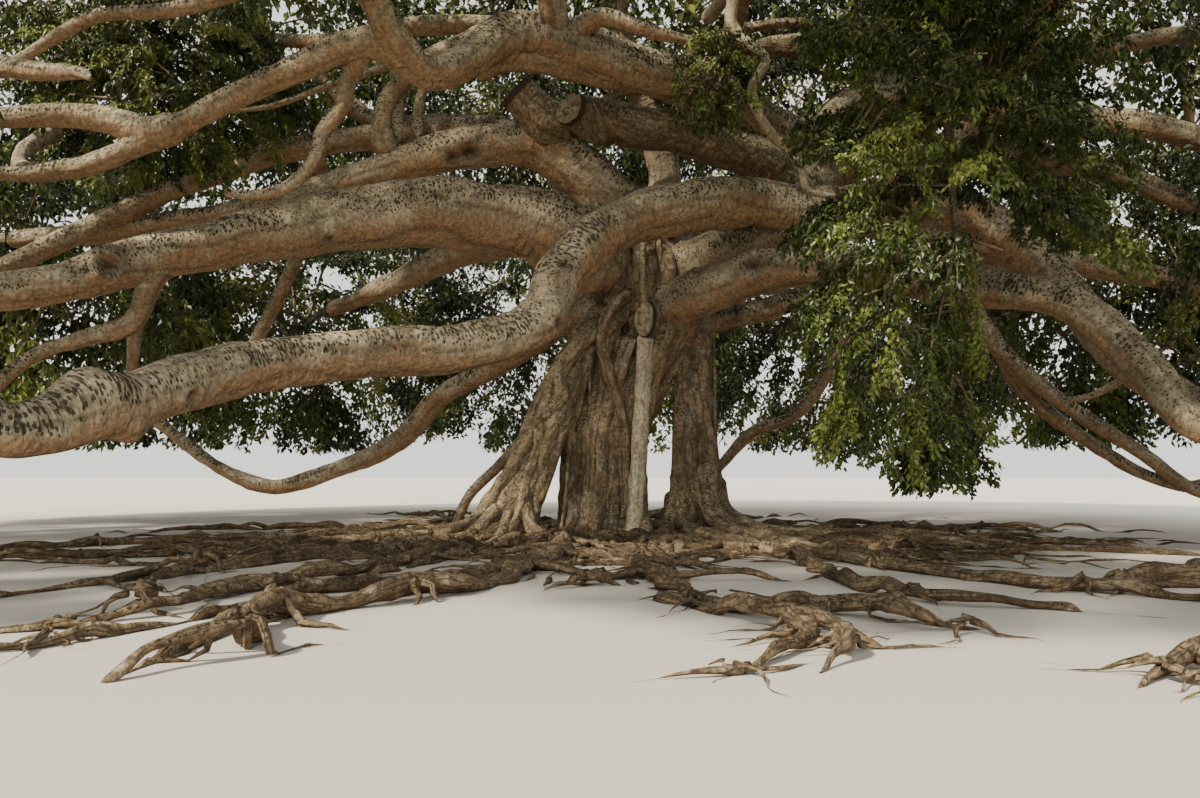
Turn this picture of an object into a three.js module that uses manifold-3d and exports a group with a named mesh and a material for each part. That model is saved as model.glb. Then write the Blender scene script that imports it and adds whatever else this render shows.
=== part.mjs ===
// A very old weeping fig: a short fluted trunk on stilt roots, long snaking boughs that dip almost to the
// ground, roots that run out over the surface, and a wide low crown whose rim hangs in curtains of leaves.
// Lengths are in millimetres. +Z is up, -Y is the side with the open archway, and the origin is on the flat
// cut under the trunk. Places are written in metres and turned into millimetres by at().
import * as THREE from "three";
import { mergeVertices } from "three/addons/utils/BufferGeometryUtils.js";
import Module from "manifold-3d";

const wasm = await Module();
wasm.setup();

// Driving dimensions
const metre = 1000;
const jointGap = 0.4; // between pieces that meet
const leafClearance = 40; // between a leaf and any limb
const cellMargin = 25; // between a leaf and the border of its mass's own space

// Crown
const rimDistance = 15.2; // from the trunk to the middle of a hanging rim mass, in metres
const rimHeight = 5.6;
const rimSize = { out: 3.8, side: 4.3, up: 3.7 };
const archHeight = 8.4; // the rim masses over the open archway hang higher
const archSize = { out: 3.7, side: 4.4, up: 2.6 };
const domeDistance = 8.9;
const domeHeight = 10.8;
const domeSize = { out: 4.9, side: 5.2, up: 2.7 };

// Growth of a mass of leaves
const sitesPerMass = 24;
const armsPerMass = 4;
const spraysPerMass = 13;
const twigSides = 3;
const evenStep = { height: 0.6180339887, heading: 0.569840291 }; // fills a sphere evenly, however many sprays
const droopRange = { least: 0.35, most: 0.85 };
const sprayLength = 0.8; // share of the mass's mean radius, as each spray stands for many leaves
const sprayWidth = 0.9; // share of its length
const sprayThickness = 0.03; // share of its length
const widestAt = 0.5; // share of the way along a spray
const fullReach = 0.98; // share of the way from the middle of a mass to the skin of its space
const shortestReach = 0.6;
const armTwig = 0.3; // an arm's radius as a share of its bough's tip radius
const sideTwig = 0.2;

const at = ([x, y, z]) => new THREE.Vector3(x, y, z).multiplyScalar(metre);
const up = new THREE.Vector3(0, 0, 1);

// The same run of numbers each time, from 0 to 1
function seeded(seed) {
  const modulus = 4294967296;
  let state = seed;
  return () => {
    state = (state * 1664525 + 1013904223) % modulus;
    return state / modulus;
  };
}

// Solids

// Bare positions with shared corners, as a closed solid needs them
function solidReady(geometry) {
  const bare = geometry.clone();
  bare.deleteAttribute("normal");
  bare.deleteAttribute("uv");
  return mergeVertices(bare);
}

function solidOf(geometry) {
  return new wasm.Manifold(
    new wasm.Mesh({
      numProp: 3,
      vertProperties: geometry.attributes.position.array,
      triVerts: new Uint32Array(geometry.index.array),
    }),
  );
}

function geometryOf(solid) {
  const mesh = solid.getMesh();
  const geometry = new THREE.BufferGeometry();
  geometry.setAttribute("position", new THREE.BufferAttribute(mesh.vertProperties, 3));
  geometry.setIndex(new THREE.BufferAttribute(mesh.triVerts, 1));
  geometry.computeVertexNormals();
  return geometry;
}

// The largest body of a cut solid, without the scraps that the cut leaves
function mainBody(solid) {
  const bodies = solid.decompose();
  return bodies.reduce((best, body) => (body.volume() > best.volume() ? body : best), bodies[0]);
}

// A closed tube along a curve: a unit cylinder whose rings are moved onto it. The radius is a function of the
// share of the way along, and grow makes the whole tube larger by that much.
function tube(curve, radiusAt, rings, sides, grow = 0) {
  const unit = solidReady(new THREE.CylinderGeometry(1, 1, 1, sides, rings));
  const frames = [];
  let side = new THREE.Vector3();
  for (let ring = 0; ring <= rings; ring++) {
    const share = ring / rings;
    const centre = curve.getPoint(share);
    const tangent = curve.getTangent(share);
    if (ring === 0) side.crossVectors(Math.abs(tangent.z) > 0.9 ? new THREE.Vector3(1, 0, 0) : up, tangent);
    side = side.clone().addScaledVector(tangent, -side.dot(tangent)).normalize();
    if (ring === 0) centre.addScaledVector(tangent, -grow);
    if (ring === rings) centre.addScaledVector(tangent, grow);
    frames.push({ centre, side, other: side.clone().cross(tangent), radius: radiusAt(share) + grow });
  }
  const points = unit.attributes.position;
  const corner = new THREE.Vector3();
  for (let index = 0; index < points.count; index++) {
    corner.fromBufferAttribute(points, index);
    const { centre, side, other, radius } = frames[Math.round((corner.y + 0.5) * rings)];
    const place = centre.clone().addScaledVector(side, radius * corner.x).addScaledVector(other, radius * corner.z);
    points.setXYZ(index, ...place);
  }
  return solidOf(unit);
}

const curveThrough = (places) => new THREE.CatmullRomCurve3(places.map(at));

// A limb tapers evenly from its base radius to its tip radius, with a collar where it leaves its parent
function limbRadius({ base, tip, collar = 0.15 }) {
  const collarReach = 0.08; // share of the limb's length
  return (share) =>
    metre * (base + (tip - base) * share) * (1 + collar * Math.exp(-share / collarReach));
}

function limbSolid(limb, grow = 0) {
  return tube(curveThrough(limb.path), limbRadius(limb), limb.rings, limb.sides, grow);
}

const groundDepth = 4 * metre;
const groundReach = 60 * metre;
const ground = solidOf(
  solidReady(new THREE.BoxGeometry(groundReach, groundReach, groundDepth).translate(0, 0, -groundDepth / 2)),
);

// A bundle of stems fused into one piece and cut flat at ground level
function bundleSolid(stems, grow = 0) {
  return stems
    .map((stem) => limbSolid(stem, grow))
    .reduce((joined, stem) => joined.add(stem))
    .subtract(ground);
}

// Trunk, stilt roots and the straight aerial root

const trunkStems = [
  { base: 0.66, tip: 1.0, collar: 0.35, rings: 8, sides: 10, path: [[0.15, 0.05, -0.3], [0.16, 0.03, 1.2], [0.22, 0.0, 2.2], [0.45, 0.1, 3.2], [0.72, 0.12, 4.2], [0.84, 0.15, 5.2], [0.9, 0.2, 6.1]] },
  { base: 0.34, tip: 0.42, rings: 4, sides: 7, path: [[-0.6, 0.1, -0.3], [-0.57, 0.05, 1.1], [-0.48, 0.05, 2.4], [-0.2, 0.1, 3.4], [0.3, 0.15, 4.6]] },
  { base: 0.36, tip: 0.5, rings: 4, sides: 7, path: [[0.35, 0.85, -0.3], [0.4, 0.7, 1.2], [0.5, 0.6, 2.6], [0.75, 0.5, 4.4]] },
  { base: 0.34, tip: 0.62, rings: 3, sides: 7, path: [[0.75, -0.1, 2.0], [0.95, -0.15, 3.1], [1.3, -0.2, 4.0], [1.55, -0.2, 4.9]] },
];
// The stump of a bough sawn off above the aerial root, facing the archway
const sawnStump = { base: 0.36, tip: 0.3, collar: 0.2, rings: 2, sides: 8, path: [[0.9, -0.2, 4.3], [0.84, -0.75, 4.15], [0.82, -1.05, 4.1]] };

// Short toes spread the trunk's foot where no long root leaves it
function footToes() {
  const toes = [
    { heading: 62, reach: 3.4 },
    { heading: 100, reach: 3.9 },
    { heading: 138, reach: 3.2 },
    { heading: 255, reach: 2.0 },
  ];
  return toes.map(({ heading, reach }) => {
    const angle = THREE.MathUtils.degToRad(heading);
    const along = (distance, height) => [
      0.1 + distance * Math.cos(angle),
      0.35 + distance * Math.sin(angle),
      height,
    ];
    return {
      base: 0.3, tip: 0.08, rings: 3, sides: 5,
      path: [along(0.1, 0.9), along(0.32 * reach, 0.16), along(0.65 * reach, 0.03), along(reach, -0.05)],
    };
  });
}

const trunk = { name: "trunk", stems: [...trunkStems, sawnStump, ...footToes()] };

const stilts = [
  {
    name: "stilt_root_left",
    stems: [
      { base: 0.34, tip: 0.36, rings: 7, sides: 7, path: [[0.12, -0.1, 4.5], [-0.25, -0.28, 4.0], [-0.75, -0.38, 3.2], [-1.2, -0.45, 2.3], [-1.62, -0.55, 1.3], [-1.95, -0.62, 0.6], [-2.2, -0.7, -0.3]] },
      { base: 0.24, tip: 0.3, rings: 5, sides: 6, path: [[-0.55, -0.5, 3.5], [-0.85, -0.7, 2.6], [-1.1, -0.72, 1.7], [-1.45, -0.75, 0.7], [-1.6, -0.9, -0.3]] },
      { base: 0.14, tip: 0.16, rings: 3, sides: 5, path: [[-1.3, -0.35, 2.1], [-1.9, -0.2, 1.2], [-2.4, -0.1, 0.5], [-2.8, 0.1, -0.25]] },
    ],
  },
  {
    name: "stilt_root_right",
    stems: [
      { base: 0.3, tip: 0.46, rings: 5, sides: 8, path: [[1.9, -0.15, 4.15], [1.86, -0.1, 3.1], [1.9, -0.1, 1.9], [1.95, -0.1, 0.8], [2.05, -0.15, -0.3]] },
      { base: 0.22, tip: 0.34, rings: 4, sides: 6, path: [[1.6, -0.2, 3.9], [1.56, -0.22, 2.6], [1.52, -0.25, 1.3], [1.5, -0.4, -0.3]] },
      { base: 0.2, tip: 0.24, rings: 3, sides: 5, path: [[1.95, 0.15, 3.0], [2.1, 0.35, 1.4], [2.3, 0.6, -0.25]] },
    ],
  },
  {
    name: "aerial_root",
    stems: [{ base: 0.15, tip: 0.16, collar: 0.25, rings: 4, sides: 10, path: [[0.78, -0.9, 3.95], [0.71, -0.9, 2.7], [0.62, -0.9, 1.3], [0.5, -0.9, -0.3]] }],
  },
];

// Boughs. Each begins inside its parent, which cuts it, and the ones with a mass end where they enter it.

const boughs = [
  // on the right of the archway
  { name: "bough_right_arching", base: 0.6, tip: 0.2, rings: 12, sides: 7, path: [[1.2, 0.1, 5.0], [2.8, -0.6, 5.65], [4.1, -1.1, 6.1], [5.8, -1.3, 6.35], [7.2, -1.6, 5.86], [8.25, -2.1, 4.6], [8.95, -2.9, 3.1], [9.6, -4.6, 2.2], [9.9, -6.6, 2.4], [9.8, -8.3, 3.4]] },
  { name: "bough_right_low", base: 0.46, tip: 0.2, rings: 12, sides: 7, path: [[1.0, -0.2, 4.35], [1.8, -1.0, 4.65], [2.65, -1.5, 4.95], [3.8, -2.0, 5.02], [5.2, -2.7, 4.62], [6.6, -3.4, 4.3], [7.5, -4.0, 3.95], [8.15, -4.6, 3.1], [8.7, -5.3, 1.95], [9.8, -5.9, 1.7], [11.3, -6.0, 2.8]] },
  { name: "bough_front_left", base: 0.5, tip: 0.3, rings: 15, sides: 7, path: [[4.4, -1.15, 6.14], [3.5, -1.5, 6.18], [2.5, -1.75, 6.25], [1.35, -2.05, 6.08], [0.1, -2.45, 5.57], [-0.76, -2.95, 4.7], [-1.2, -3.5, 3.75], [-2.2, -4.2, 3.25], [-3.42, -5.0, 3.07], [-4.5, -6.2, 2.78], [-5.3, -7.4, 2.4], [-5.75, -8.8, 1.95], [-6.3, -10.0, 1.7], [-7.7, -10.7, 2.7]] },
  { name: "bough_top_snaking", base: 0.54, tip: 0.2, rings: 15, sides: 7, path: [[2.9, -0.5, 5.75], [3.9, -0.1, 6.6], [4.4, 0.3, 7.45], [3.5, 0.1, 8.3], [1.9, -0.7, 8.82], [0.3, -1.4, 9.05], [-0.9, -2.0, 9.25], [-1.7, -2.5, 9.15], [-2.35, -3.0, 8.45], [-3.05, -3.5, 8.0], [-3.45, -4.0, 8.3], [-3.8, -4.5, 9.0], [-4.2, -5.0, 9.6]] },
  { name: "bough_sawn", base: 0.5, tip: 0.4, collar: 0.1, rings: 4, sides: 7, path: [[4.0, 0.0, 6.8], [3.2, -0.1, 7.55], [1.9, -0.35, 7.95], [0.5, -0.55, 8.15], [-0.6, -0.7, 8.32]] },
  { name: "bough_right_high", base: 0.44, tip: 0.2, rings: 7, sides: 6, path: [[4.3, 0.3, 7.3], [5.3, 0.6, 7.75], [6.3, 0.9, 8.0], [7.8, 1.0, 8.15], [9.5, 0.8, 7.9], [10.7, 0.4, 7.4], [12.0, -0.1, 6.6]] },
  { name: "bough_right_rear", base: 0.38, tip: 0.18, rings: 6, sides: 6, path: [[4.9, -1.15, 6.2], [5.9, 0.0, 6.4], [7.0, 1.0, 6.3], [8.6, 1.9, 6.0], [10.2, 3.3, 5.7], [11.4, 5.2, 5.7]] },
  { name: "bough_right_inner", base: 0.27, tip: 0.2, rings: 5, sides: 5, path: [[1.3, 0.4, 4.3], [2.3, 1.0, 4.5], [3.4, 1.4, 4.75], [5.0, 2.0, 5.3], [6.2, 2.4, 5.3]] },
  { name: "bough_right_drooping", base: 0.2, tip: 0.12, rings: 8, sides: 5, path: [[5.8, 2.3, 5.3], [5.65, 2.6, 4.6], [5.3, 2.9, 3.85], [4.9, 3.1, 3.15], [4.4, 3.3, 2.55], [3.5, 3.6, 2.2], [2.7, 4.1, 1.3], [1.9, 4.6, 0.5]] },
  { name: "bough_right_sagging", base: 0.2, tip: 0.11, rings: 8, sides: 5, path: [[7.0, 1.0, 6.3], [7.7, 1.15, 5.0], [8.55, 1.2, 3.7], [9.3, 1.4, 2.75], [10.5, 1.5, 1.85], [11.6, 1.3, 1.15], [12.6, 1.1, 1.0], [13.4, 1.3, 1.9]] },
  // on the left of the archway
  { name: "bough_left_broad", base: 0.9, tip: 0.24, rings: 9, sides: 8, path: [[0.5, 0.1, 5.3], [-0.6, -0.3, 5.75], [-1.6, -0.6, 6.15], [-3.0, -1.0, 6.23], [-4.45, -1.4, 6.07], [-6.0, -2.0, 5.63], [-7.5, -2.8, 5.1], [-9.2, -3.8, 4.3], [-10.9, -4.8, 3.9]] },
  { name: "bough_left_kneed", base: 0.6, tip: 0.18, rings: 10, sides: 7, path: [[0.9, 0.25, 5.9], [0.2, 0.05, 6.7], [-0.6, -0.1, 7.4], [-1.45, -0.2, 7.85], [-2.8, -0.45, 7.7], [-4.1, -0.65, 7.23], [-5.4, -0.8, 6.78], [-6.9, -0.7, 6.4], [-9.4, -0.3, 6.1], [-12.0, -0.2, 5.9]] },
  { name: "bough_left_forked", base: 0.24, tip: 0.13, rings: 8, sides: 5, path: [[-3.2, -3.65, 8.1], [-3.9, -3.95, 8.3], [-5.3, -3.9, 7.83], [-6.4, -3.8, 7.36], [-7.45, -3.7, 6.85], [-8.6, -3.7, 6.35], [-9.7, -3.5, 6.3], [-10.3, -2.7, 6.9], [-10.1, -1.9, 7.6]] },
  { name: "bough_left_hanging", base: 0.22, tip: 0.1, rings: 5, sides: 5, path: [[-7.6, -2.85, 5.05], [-7.9, -2.95, 4.4], [-8.15, -2.9, 3.85], [-8.9, -3.0, 3.55], [-9.7, -3.2, 3.2], [-10.3, -3.5, 2.5]] },
  { name: "bough_left_drooping", base: 0.3, tip: 0.14, rings: 11, sides: 6, path: [[0.2, 0.3, 4.75], [-0.7, 0.9, 4.5], [-1.5, 1.4, 4.1], [-2.55, 2.0, 3.5], [-3.7, 2.5, 2.95], [-4.7, 3.0, 2.0], [-6.2, 3.5, 1.35], [-8.0, 4.0, 0.92], [-9.5, 4.4, 1.45], [-11.5, 4.7, 2.9]] },
  // behind the trunk
  { name: "bough_rear_right", base: 0.5, tip: 0.2, rings: 6, sides: 6, path: [[1.1, 0.3, 5.5], [2.0, 1.9, 6.4], [3.2, 4.0, 6.7], [4.6, 6.4, 6.2], [6.3, 9.4, 5.8]] },
  { name: "bough_rear", base: 0.52, tip: 0.2, rings: 6, sides: 6, path: [[0.8, 0.4, 5.2], [0.7, 2.2, 6.1], [0.2, 4.6, 6.6], [-0.4, 7.4, 6.2], [-0.7, 11.6, 5.7]] },
  { name: "bough_rear_left", base: 0.5, tip: 0.2, rings: 6, sides: 6, path: [[0.5, 0.3, 5.5], [-1.2, 1.6, 6.3], [-3.2, 3.4, 6.5], [-5.6, 5.8, 6.1], [-7.9, 8.6, 5.9]] },
  // up into the dome of the crown
  { name: "bough_leader", base: 0.42, tip: 0.24, rings: 4, sides: 6, path: [[1.0, 0.3, 5.9], [1.3, 1.0, 7.6], [0.9, 1.3, 9.1], [0.5, 1.1, 10.5]] },
  { name: "bough_dome_right", base: 0.26, tip: 0.15, rings: 3, sides: 5, path: [[5.6, 0.75, 7.8], [6.0, 1.0, 8.7], [6.5, 0.6, 9.6]] },
  { name: "bough_dome_rear_right", base: 0.3, tip: 0.15, rings: 3, sides: 5, path: [[2.6, 3.0, 6.6], [3.2, 3.9, 8.0], [3.7, 4.4, 9.6]] },
  { name: "bough_dome_rear", base: 0.3, tip: 0.15, rings: 3, sides: 5, path: [[0.3, 4.2, 6.6], [-0.8, 5.2, 8.0], [-1.7, 5.7, 9.6]] },
  { name: "bough_dome_left", base: 0.3, tip: 0.15, rings: 4, sides: 5, path: [[-1.5, -0.15, 7.9], [-3.1, 0.3, 8.4], [-4.9, 0.7, 8.7], [-6.0, 1.0, 9.6]] },
  { name: "bough_dome_front", base: 0.22, tip: 0.14, rings: 3, sides: 5, path: [[2.2, -0.6, 8.75], [2.5, -2.0, 9.9], [2.6, -3.8, 10.3], [2.5, -5.2, 10.3]] },
  { name: "bough_arch_left", base: 0.26, tip: 0.15, rings: 5, sides: 5, path: [[-0.9, -2.0, 9.3], [-1.3, -3.6, 10.6], [-1.9, -6.6, 10.7], [-2.6, -9.4, 10.0], [-3.2, -11.9, 9.2]] },
  { name: "bough_arch_right", base: 0.34, tip: 0.15, rings: 6, sides: 5, path: [[5.8, -1.3, 6.35], [6.9, -2.4, 8.0], [7.5, -4.4, 9.4], [7.0, -7.2, 10.0], [5.4, -9.8, 9.6], [4.2, -11.9, 9.1]] },
  { name: "bough_curtain", base: 0.24, tip: 0.13, rings: 3, sides: 5, path: [[5.2, -1.25, 6.3], [5.5, -2.4, 7.0], [5.4, -3.9, 7.1]] },
  { name: "bough_tufted", base: 0.22, tip: 0.1, rings: 3, sides: 5, path: [[-0.8, -1.95, 9.25], [-0.1, -2.1, 9.62], [0.85, -2.0, 9.4], [1.7, -2.0, 9.2]] },
];

// Roots that run out over the ground from the trunk's foot and the stilts

const groundSink = 0.02; // a root's middle lies this far under the surface, in metres
const rootPath = (...places) => places.map(([x, y]) => [x, y, -groundSink]);
const surfaceRoots = [
  { name: "root_front_left", base: 0.24, tip: 0.07, path: rootPath([-0.4, -0.2], [-0.7, -2.6], [-0.8, -5.2], [-1.7, -8.6], [-2.9, -11.2], [-3.1, -13.8]) },
  { name: "root_left_near", base: 0.24, tip: 0.06, path: rootPath([-2.0, -0.8], [-2.9, -2.6], [-4.3, -5.2], [-5.2, -7.4], [-6.3, -9.4]) },
  { name: "root_right_near", base: 0.26, tip: 0.06, path: rootPath([1.7, -0.4], [2.2, -2.4], [3.0, -4.6], [3.9, -7.2], [5.3, -9.6]) },
  { name: "root_right_far", base: 0.26, tip: 0.06, path: rootPath([2.1, -0.1], [3.4, -1.6], [5.0, -2.9], [7.2, -3.6], [9.6, -5.2]) },
].map((root) => ({ rings: 7, sides: 6, collar: 0.5, ...root }));

// Masses of leaves. Each hangs in an ellipsoid of its own, turned to face the trunk.

function ringOfMasses(distance, entries) {
  return entries.map(({ name, heading, height, size, bough }) => {
    const angle = THREE.MathUtils.degToRad(heading);
    return {
      name, heading, size, bough,
      centre: [distance * Math.cos(angle), distance * Math.sin(angle), height],
    };
  });
}

const rim = (name, heading, bough) => ({ name, heading, bough, height: rimHeight, size: rimSize });
const arch = (name, heading, bough) => ({ name, heading, bough, height: archHeight, size: archSize });
const dome = (name, heading, bough) => ({ name, heading, bough, height: domeHeight, size: domeSize });

const masses = [
  ...ringOfMasses(rimDistance, [
    rim("leaves_rim_right", -1, "bough_right_high"),
    rim("leaves_rim_right_rear", 27, "bough_right_rear"),
    rim("leaves_rim_rear_right", 59, "bough_rear_right"),
    rim("leaves_rim_rear", 93, "bough_rear"),
    rim("leaves_rim_rear_left", 130, "bough_rear_left"),
    rim("leaves_rim_left_rear", 158, "bough_left_drooping"),
    rim("leaves_rim_left", 181, "bough_left_kneed"),
    rim("leaves_rim_left_front", 204, "bough_left_broad"),
    rim("leaves_rim_front_left", 230, "bough_front_left"),
    arch("leaves_arch_left", 257, "bough_arch_left"),
    arch("leaves_arch_right", 285, "bough_arch_right"),
    rim("leaves_rim_front_right", 311, "bough_right_arching"),
    rim("leaves_rim_right_front", 335, "bough_right_low"),
  ]),
  ...ringOfMasses(domeDistance, [
    dome("leaves_dome_right", -10, "bough_dome_right"),
    dome("leaves_dome_rear_right", 50, "bough_dome_rear_right"),
    dome("leaves_dome_rear", 110, "bough_dome_rear"),
    dome("leaves_dome_left", 170, "bough_dome_left"),
    dome("leaves_dome_front_left", 230, "bough_top_snaking"),
    dome("leaves_dome_front", 290, "bough_dome_front"),
  ]),
  { name: "leaves_dome_top", heading: 0, centre: [0.3, 0.6, 12.7], size: { out: 5.4, side: 5.4, up: 2.4 }, bough: "bough_leader" },
  { name: "leaves_inner_left", sprays: 10, heading: 180, centre: [-8.7, -0.9, 8.6], size: { out: 2.5, side: 2.1, up: 1.8 }, bough: "bough_left_forked" },
  { name: "leaves_curtain", heading: 287, centre: [5.1, -5.6, 4.8], size: { out: 1.9, side: 2.4, up: 3.9 }, bough: "bough_curtain" },
  { name: "leaves_tuft", sprays: 7, heading: 0, centre: [2.1, -2.3, 8.3], size: { out: 0.9, side: 0.8, up: 0.95 }, bough: "bough_tufted" },
].map((mass) => ({ sprays: spraysPerMass, ...mass }));

// A mass's own directions: away from the trunk, sideways and up
function axesOf(mass) {
  const angle = THREE.MathUtils.degToRad(mass.heading);
  const out = new THREE.Vector3(Math.cos(angle), Math.sin(angle), 0);
  return { out, side: new THREE.Vector3().crossVectors(up, out) };
}

// How far out of its ellipsoid a point lies: 1 is on the skin
function shareOfEllipsoid(mass, point) {
  const { out, side } = axesOf(mass);
  const offset = point.clone().sub(at(mass.centre)).divideScalar(metre);
  return Math.hypot(
    offset.dot(out) / mass.size.out,
    offset.dot(side) / mass.size.side,
    offset.z / mass.size.up,
  );
}

// Neighbouring masses are parted by planes, so a point is in its own cell when it is on this side of each
function inOwnCell(mass, point) {
  const centre = at(mass.centre);
  return masses.every((other) => {
    if (other === mass) return true;
    const across = at(other.centre).sub(centre);
    const apart = across.length();
    across.normalize();
    const reach = (m) => {
      const { out, side } = axesOf(m);
      const share = Math.hypot(
        across.dot(out) / m.size.out,
        across.dot(side) / m.size.side,
        across.z / m.size.up,
      );
      return metre / share;
    };
    const border = (apart * reach(mass)) / (reach(mass) + reach(other));
    return point.clone().sub(centre).dot(across) < border - cellMargin;
  });
}

const inOwnSpace = (mass, point) => shareOfEllipsoid(mass, point) < 1 && inOwnCell(mass, point);

// A leaf spray on its own twig: a three-sided cone that widens into a thin blade with a ridge along its upper
// face. An arm's twig bends at its end before the blade begins, and a side twig runs straight into its blade.
function spray({ foot, root, tip, twigRadius, bent }) {
  const length = root.distanceTo(tip);
  const along = tip.clone().sub(root).normalize();
  const twig = root.clone().sub(foot).normalize();
  const across = along.clone().cross(up).normalize();
  const cornerWidth = Math.sin(Math.PI / 3);
  const rows = [
    { centre: foot, tangent: twig, wide: twigRadius, high: twigRadius },
    { centre: root, tangent: twig.clone().add(along).normalize(), wide: twigRadius, high: twigRadius },
    {
      centre: root.clone().lerp(tip, widestAt),
      tangent: along,
      wide: (sprayWidth * length) / 2 / cornerWidth,
      high: (sprayThickness * length) / 1.5,
    },
    { centre: tip, tangent: along, wide: 0, high: 0 },
  ];
  if (!bent) rows.splice(1, 1);
  const bands = rows.length - 1;
  const unit = solidReady(new THREE.ConeGeometry(1, 1, twigSides, bands));
  const points = unit.attributes.position;
  const corner = new THREE.Vector3();
  const corners = [];
  for (let index = 0; index < points.count; index++) {
    corner.fromBufferAttribute(points, index);
    const { centre, tangent, wide, high } = rows[Math.round((corner.y + 0.5) * bands)];
    const spread = Math.max(Math.hypot(corner.x, corner.z), 0.001);
    const side = across.clone().addScaledVector(tangent, -across.dot(tangent)).normalize();
    const place = centre
      .clone()
      .addScaledVector(side, (wide * corner.x) / spread)
      .addScaledVector(side.cross(tangent), (high * corner.z) / spread);
    points.setXYZ(index, ...place);
    corners.push(place);
  }
  return { foot, root, corners, solid: solidOf(unit) };
}

// The nearest arm, and the place on it where a side twig starts
function footOnArms(arms, root) {
  const reachAlong = [0.25, 0.9]; // share of the arm's own twig
  const feet = arms.map((arm) => {
    const line = new THREE.Line3(arm.foot, arm.root);
    const share = THREE.MathUtils.clamp(line.closestPointToPointParameter(root), ...reachAlong);
    return { parent: arm, foot: line.at(share, new THREE.Vector3()) };
  });
  return feet.reduce((best, next) => (next.foot.distanceTo(root) < best.foot.distanceTo(root) ? next : best));
}

// A mass branches by a seeded rule: one stem from its bough's tip, arms from the stem, side twigs from the arms,
// and a drooping spray at the end of each, out to the skin of the mass's space.
function massSolid(mass, bough, wood, seed) {
  const random = seeded(seed);
  const boughCurve = curveThrough(bough.path);
  const heading = boughCurve.getTangent(1);
  const centre = at(mass.centre);
  const { out, side } = axesOf(mass);
  const start = boughCurve.getPoint(1).addScaledVector(heading, jointGap);
  const lead = 0.2 * start.distanceTo(centre);
  const stemCurve = new THREE.CatmullRomCurve3([start, start.clone().addScaledVector(heading, lead), centre]);
  const tipRadius = bough.tip * metre;
  const stemRadius = (share) => tipRadius * (0.85 - 0.4 * share);
  const meanRadius = (metre * (mass.size.out + mass.size.side + mass.size.up)) / 3;
  const firstTurn = random();
  const arms = [];
  const sprays = [];
  for (let site = 0; site < sitesPerMass && sprays.length < mass.sprays; site++) {
    const height = 1 - 2 * ((0.5 + site * evenStep.height) % 1);
    const turn = 2 * Math.PI * ((firstTurn + site * evenStep.heading) % 1);
    const level = Math.sqrt(1 - height * height);
    const droop = THREE.MathUtils.lerp(droopRange.least, droopRange.most, random());
    const lengthShare = 0.85 + 0.15 * random();
    const toSkin = new THREE.Vector3()
      .addScaledVector(out, mass.size.out * level * Math.cos(turn))
      .addScaledVector(side, mass.size.side * level * Math.sin(turn))
      .addScaledVector(up, mass.size.up * height)
      .multiplyScalar(metre);
    const along = toSkin.clone().normalize();
    along.z -= droop;
    along.normalize();
    for (let reach = fullReach; reach >= shortestReach; reach -= 0.06) {
      const tip = centre.clone().addScaledVector(toSkin, reach);
      const length = sprayLength * meanRadius * lengthShare * reach;
      const root = tip.clone().addScaledVector(along, -length);
      const isArm = arms.length < armsPerMass;
      const { foot, parent } = isArm
        ? { foot: stemCurve.getPoint(0.7 + 0.09 * arms.length) }
        : footOnArms(arms, root);
      const leaves = spray({ foot, root, tip, twigRadius: tipRadius * (isArm ? armTwig : sideTwig), bent: isArm });
      const inside = leaves.corners.every((corner) => inOwnSpace(mass, corner));
      const others = sprays.filter((other) => other !== parent && !isArm);
      const clear = [...wood, ...others.map((other) => other.solid)].every((solid) => !touching(solid, leaves.solid));
      if (!inside || !clear) continue;
      if (isArm) arms.push(leaves);
      sprays.push(leaves);
      break;
    }
  }
  const stem = tube(stemCurve, stemRadius, 3, 4);
  return mainBody(sprays.reduce((joined, leaves) => joined.add(leaves.solid), stem));
}

function touching(a, b) {
  const boxA = a.boundingBox();
  const boxB = b.boundingBox();
  const apart = [0, 1, 2].some((axis) => boxA.min[axis] > boxB.max[axis] || boxB.min[axis] > boxA.max[axis]);
  return !apart && !a.intersect(b).isEmpty();
}

// Colours

const bark = new THREE.MeshStandardMaterial({ color: 0xa39a86, roughness: 0.85, metalness: 0 });
const trunkBark = new THREE.MeshStandardMaterial({ color: 0x7d6850, roughness: 0.9, metalness: 0 });
const rootBark = new THREE.MeshStandardMaterial({ color: 0x80694c, roughness: 0.9, metalness: 0 });
const foliage = new THREE.MeshStandardMaterial({ color: 0x3f5a24, roughness: 0.5, metalness: 0 });

// Assembly: every piece is cut clear of the pieces before it

const tree = new THREE.Group();
const placed = [];

function place(name, solid, grown, material) {
  const cutters = placed.filter((piece) => touching(piece.grown, solid));
  const cut = cutters.reduce((rest, piece) => rest.subtract(piece.grown), solid);
  const body = mainBody(cut);
  const mesh = new THREE.Mesh(geometryOf(body), material);
  mesh.name = name;
  tree.add(mesh);
  placed.push({ name, grown });
}

place(trunk.name, bundleSolid(trunk.stems), bundleSolid(trunk.stems, jointGap), trunkBark);
for (const { name, stems } of stilts) {
  place(name, bundleSolid(stems), bundleSolid(stems, jointGap), trunkBark);
}
for (const root of surfaceRoots) {
  place(root.name, bundleSolid([root]), bundleSolid([root], jointGap), rootBark);
}
for (const bough of boughs) {
  place(bough.name, limbSolid(bough), limbSolid(bough, jointGap), bark);
}

const woodNearLeaves = [
  ...[trunk, ...stilts].map(({ stems }) => bundleSolid(stems, leafClearance)),
  ...boughs.map((bough) => limbSolid(bough, leafClearance)),
];
const firstSeed = 101;
masses.forEach((mass, index) => {
  const bough = boughs.find(({ name }) => name === mass.bough);
  const solid = massSolid(mass, bough, woodNearLeaves, firstSeed + index);
  place(mass.name, solid, solid, foliage);
});

export default tree;
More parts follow.
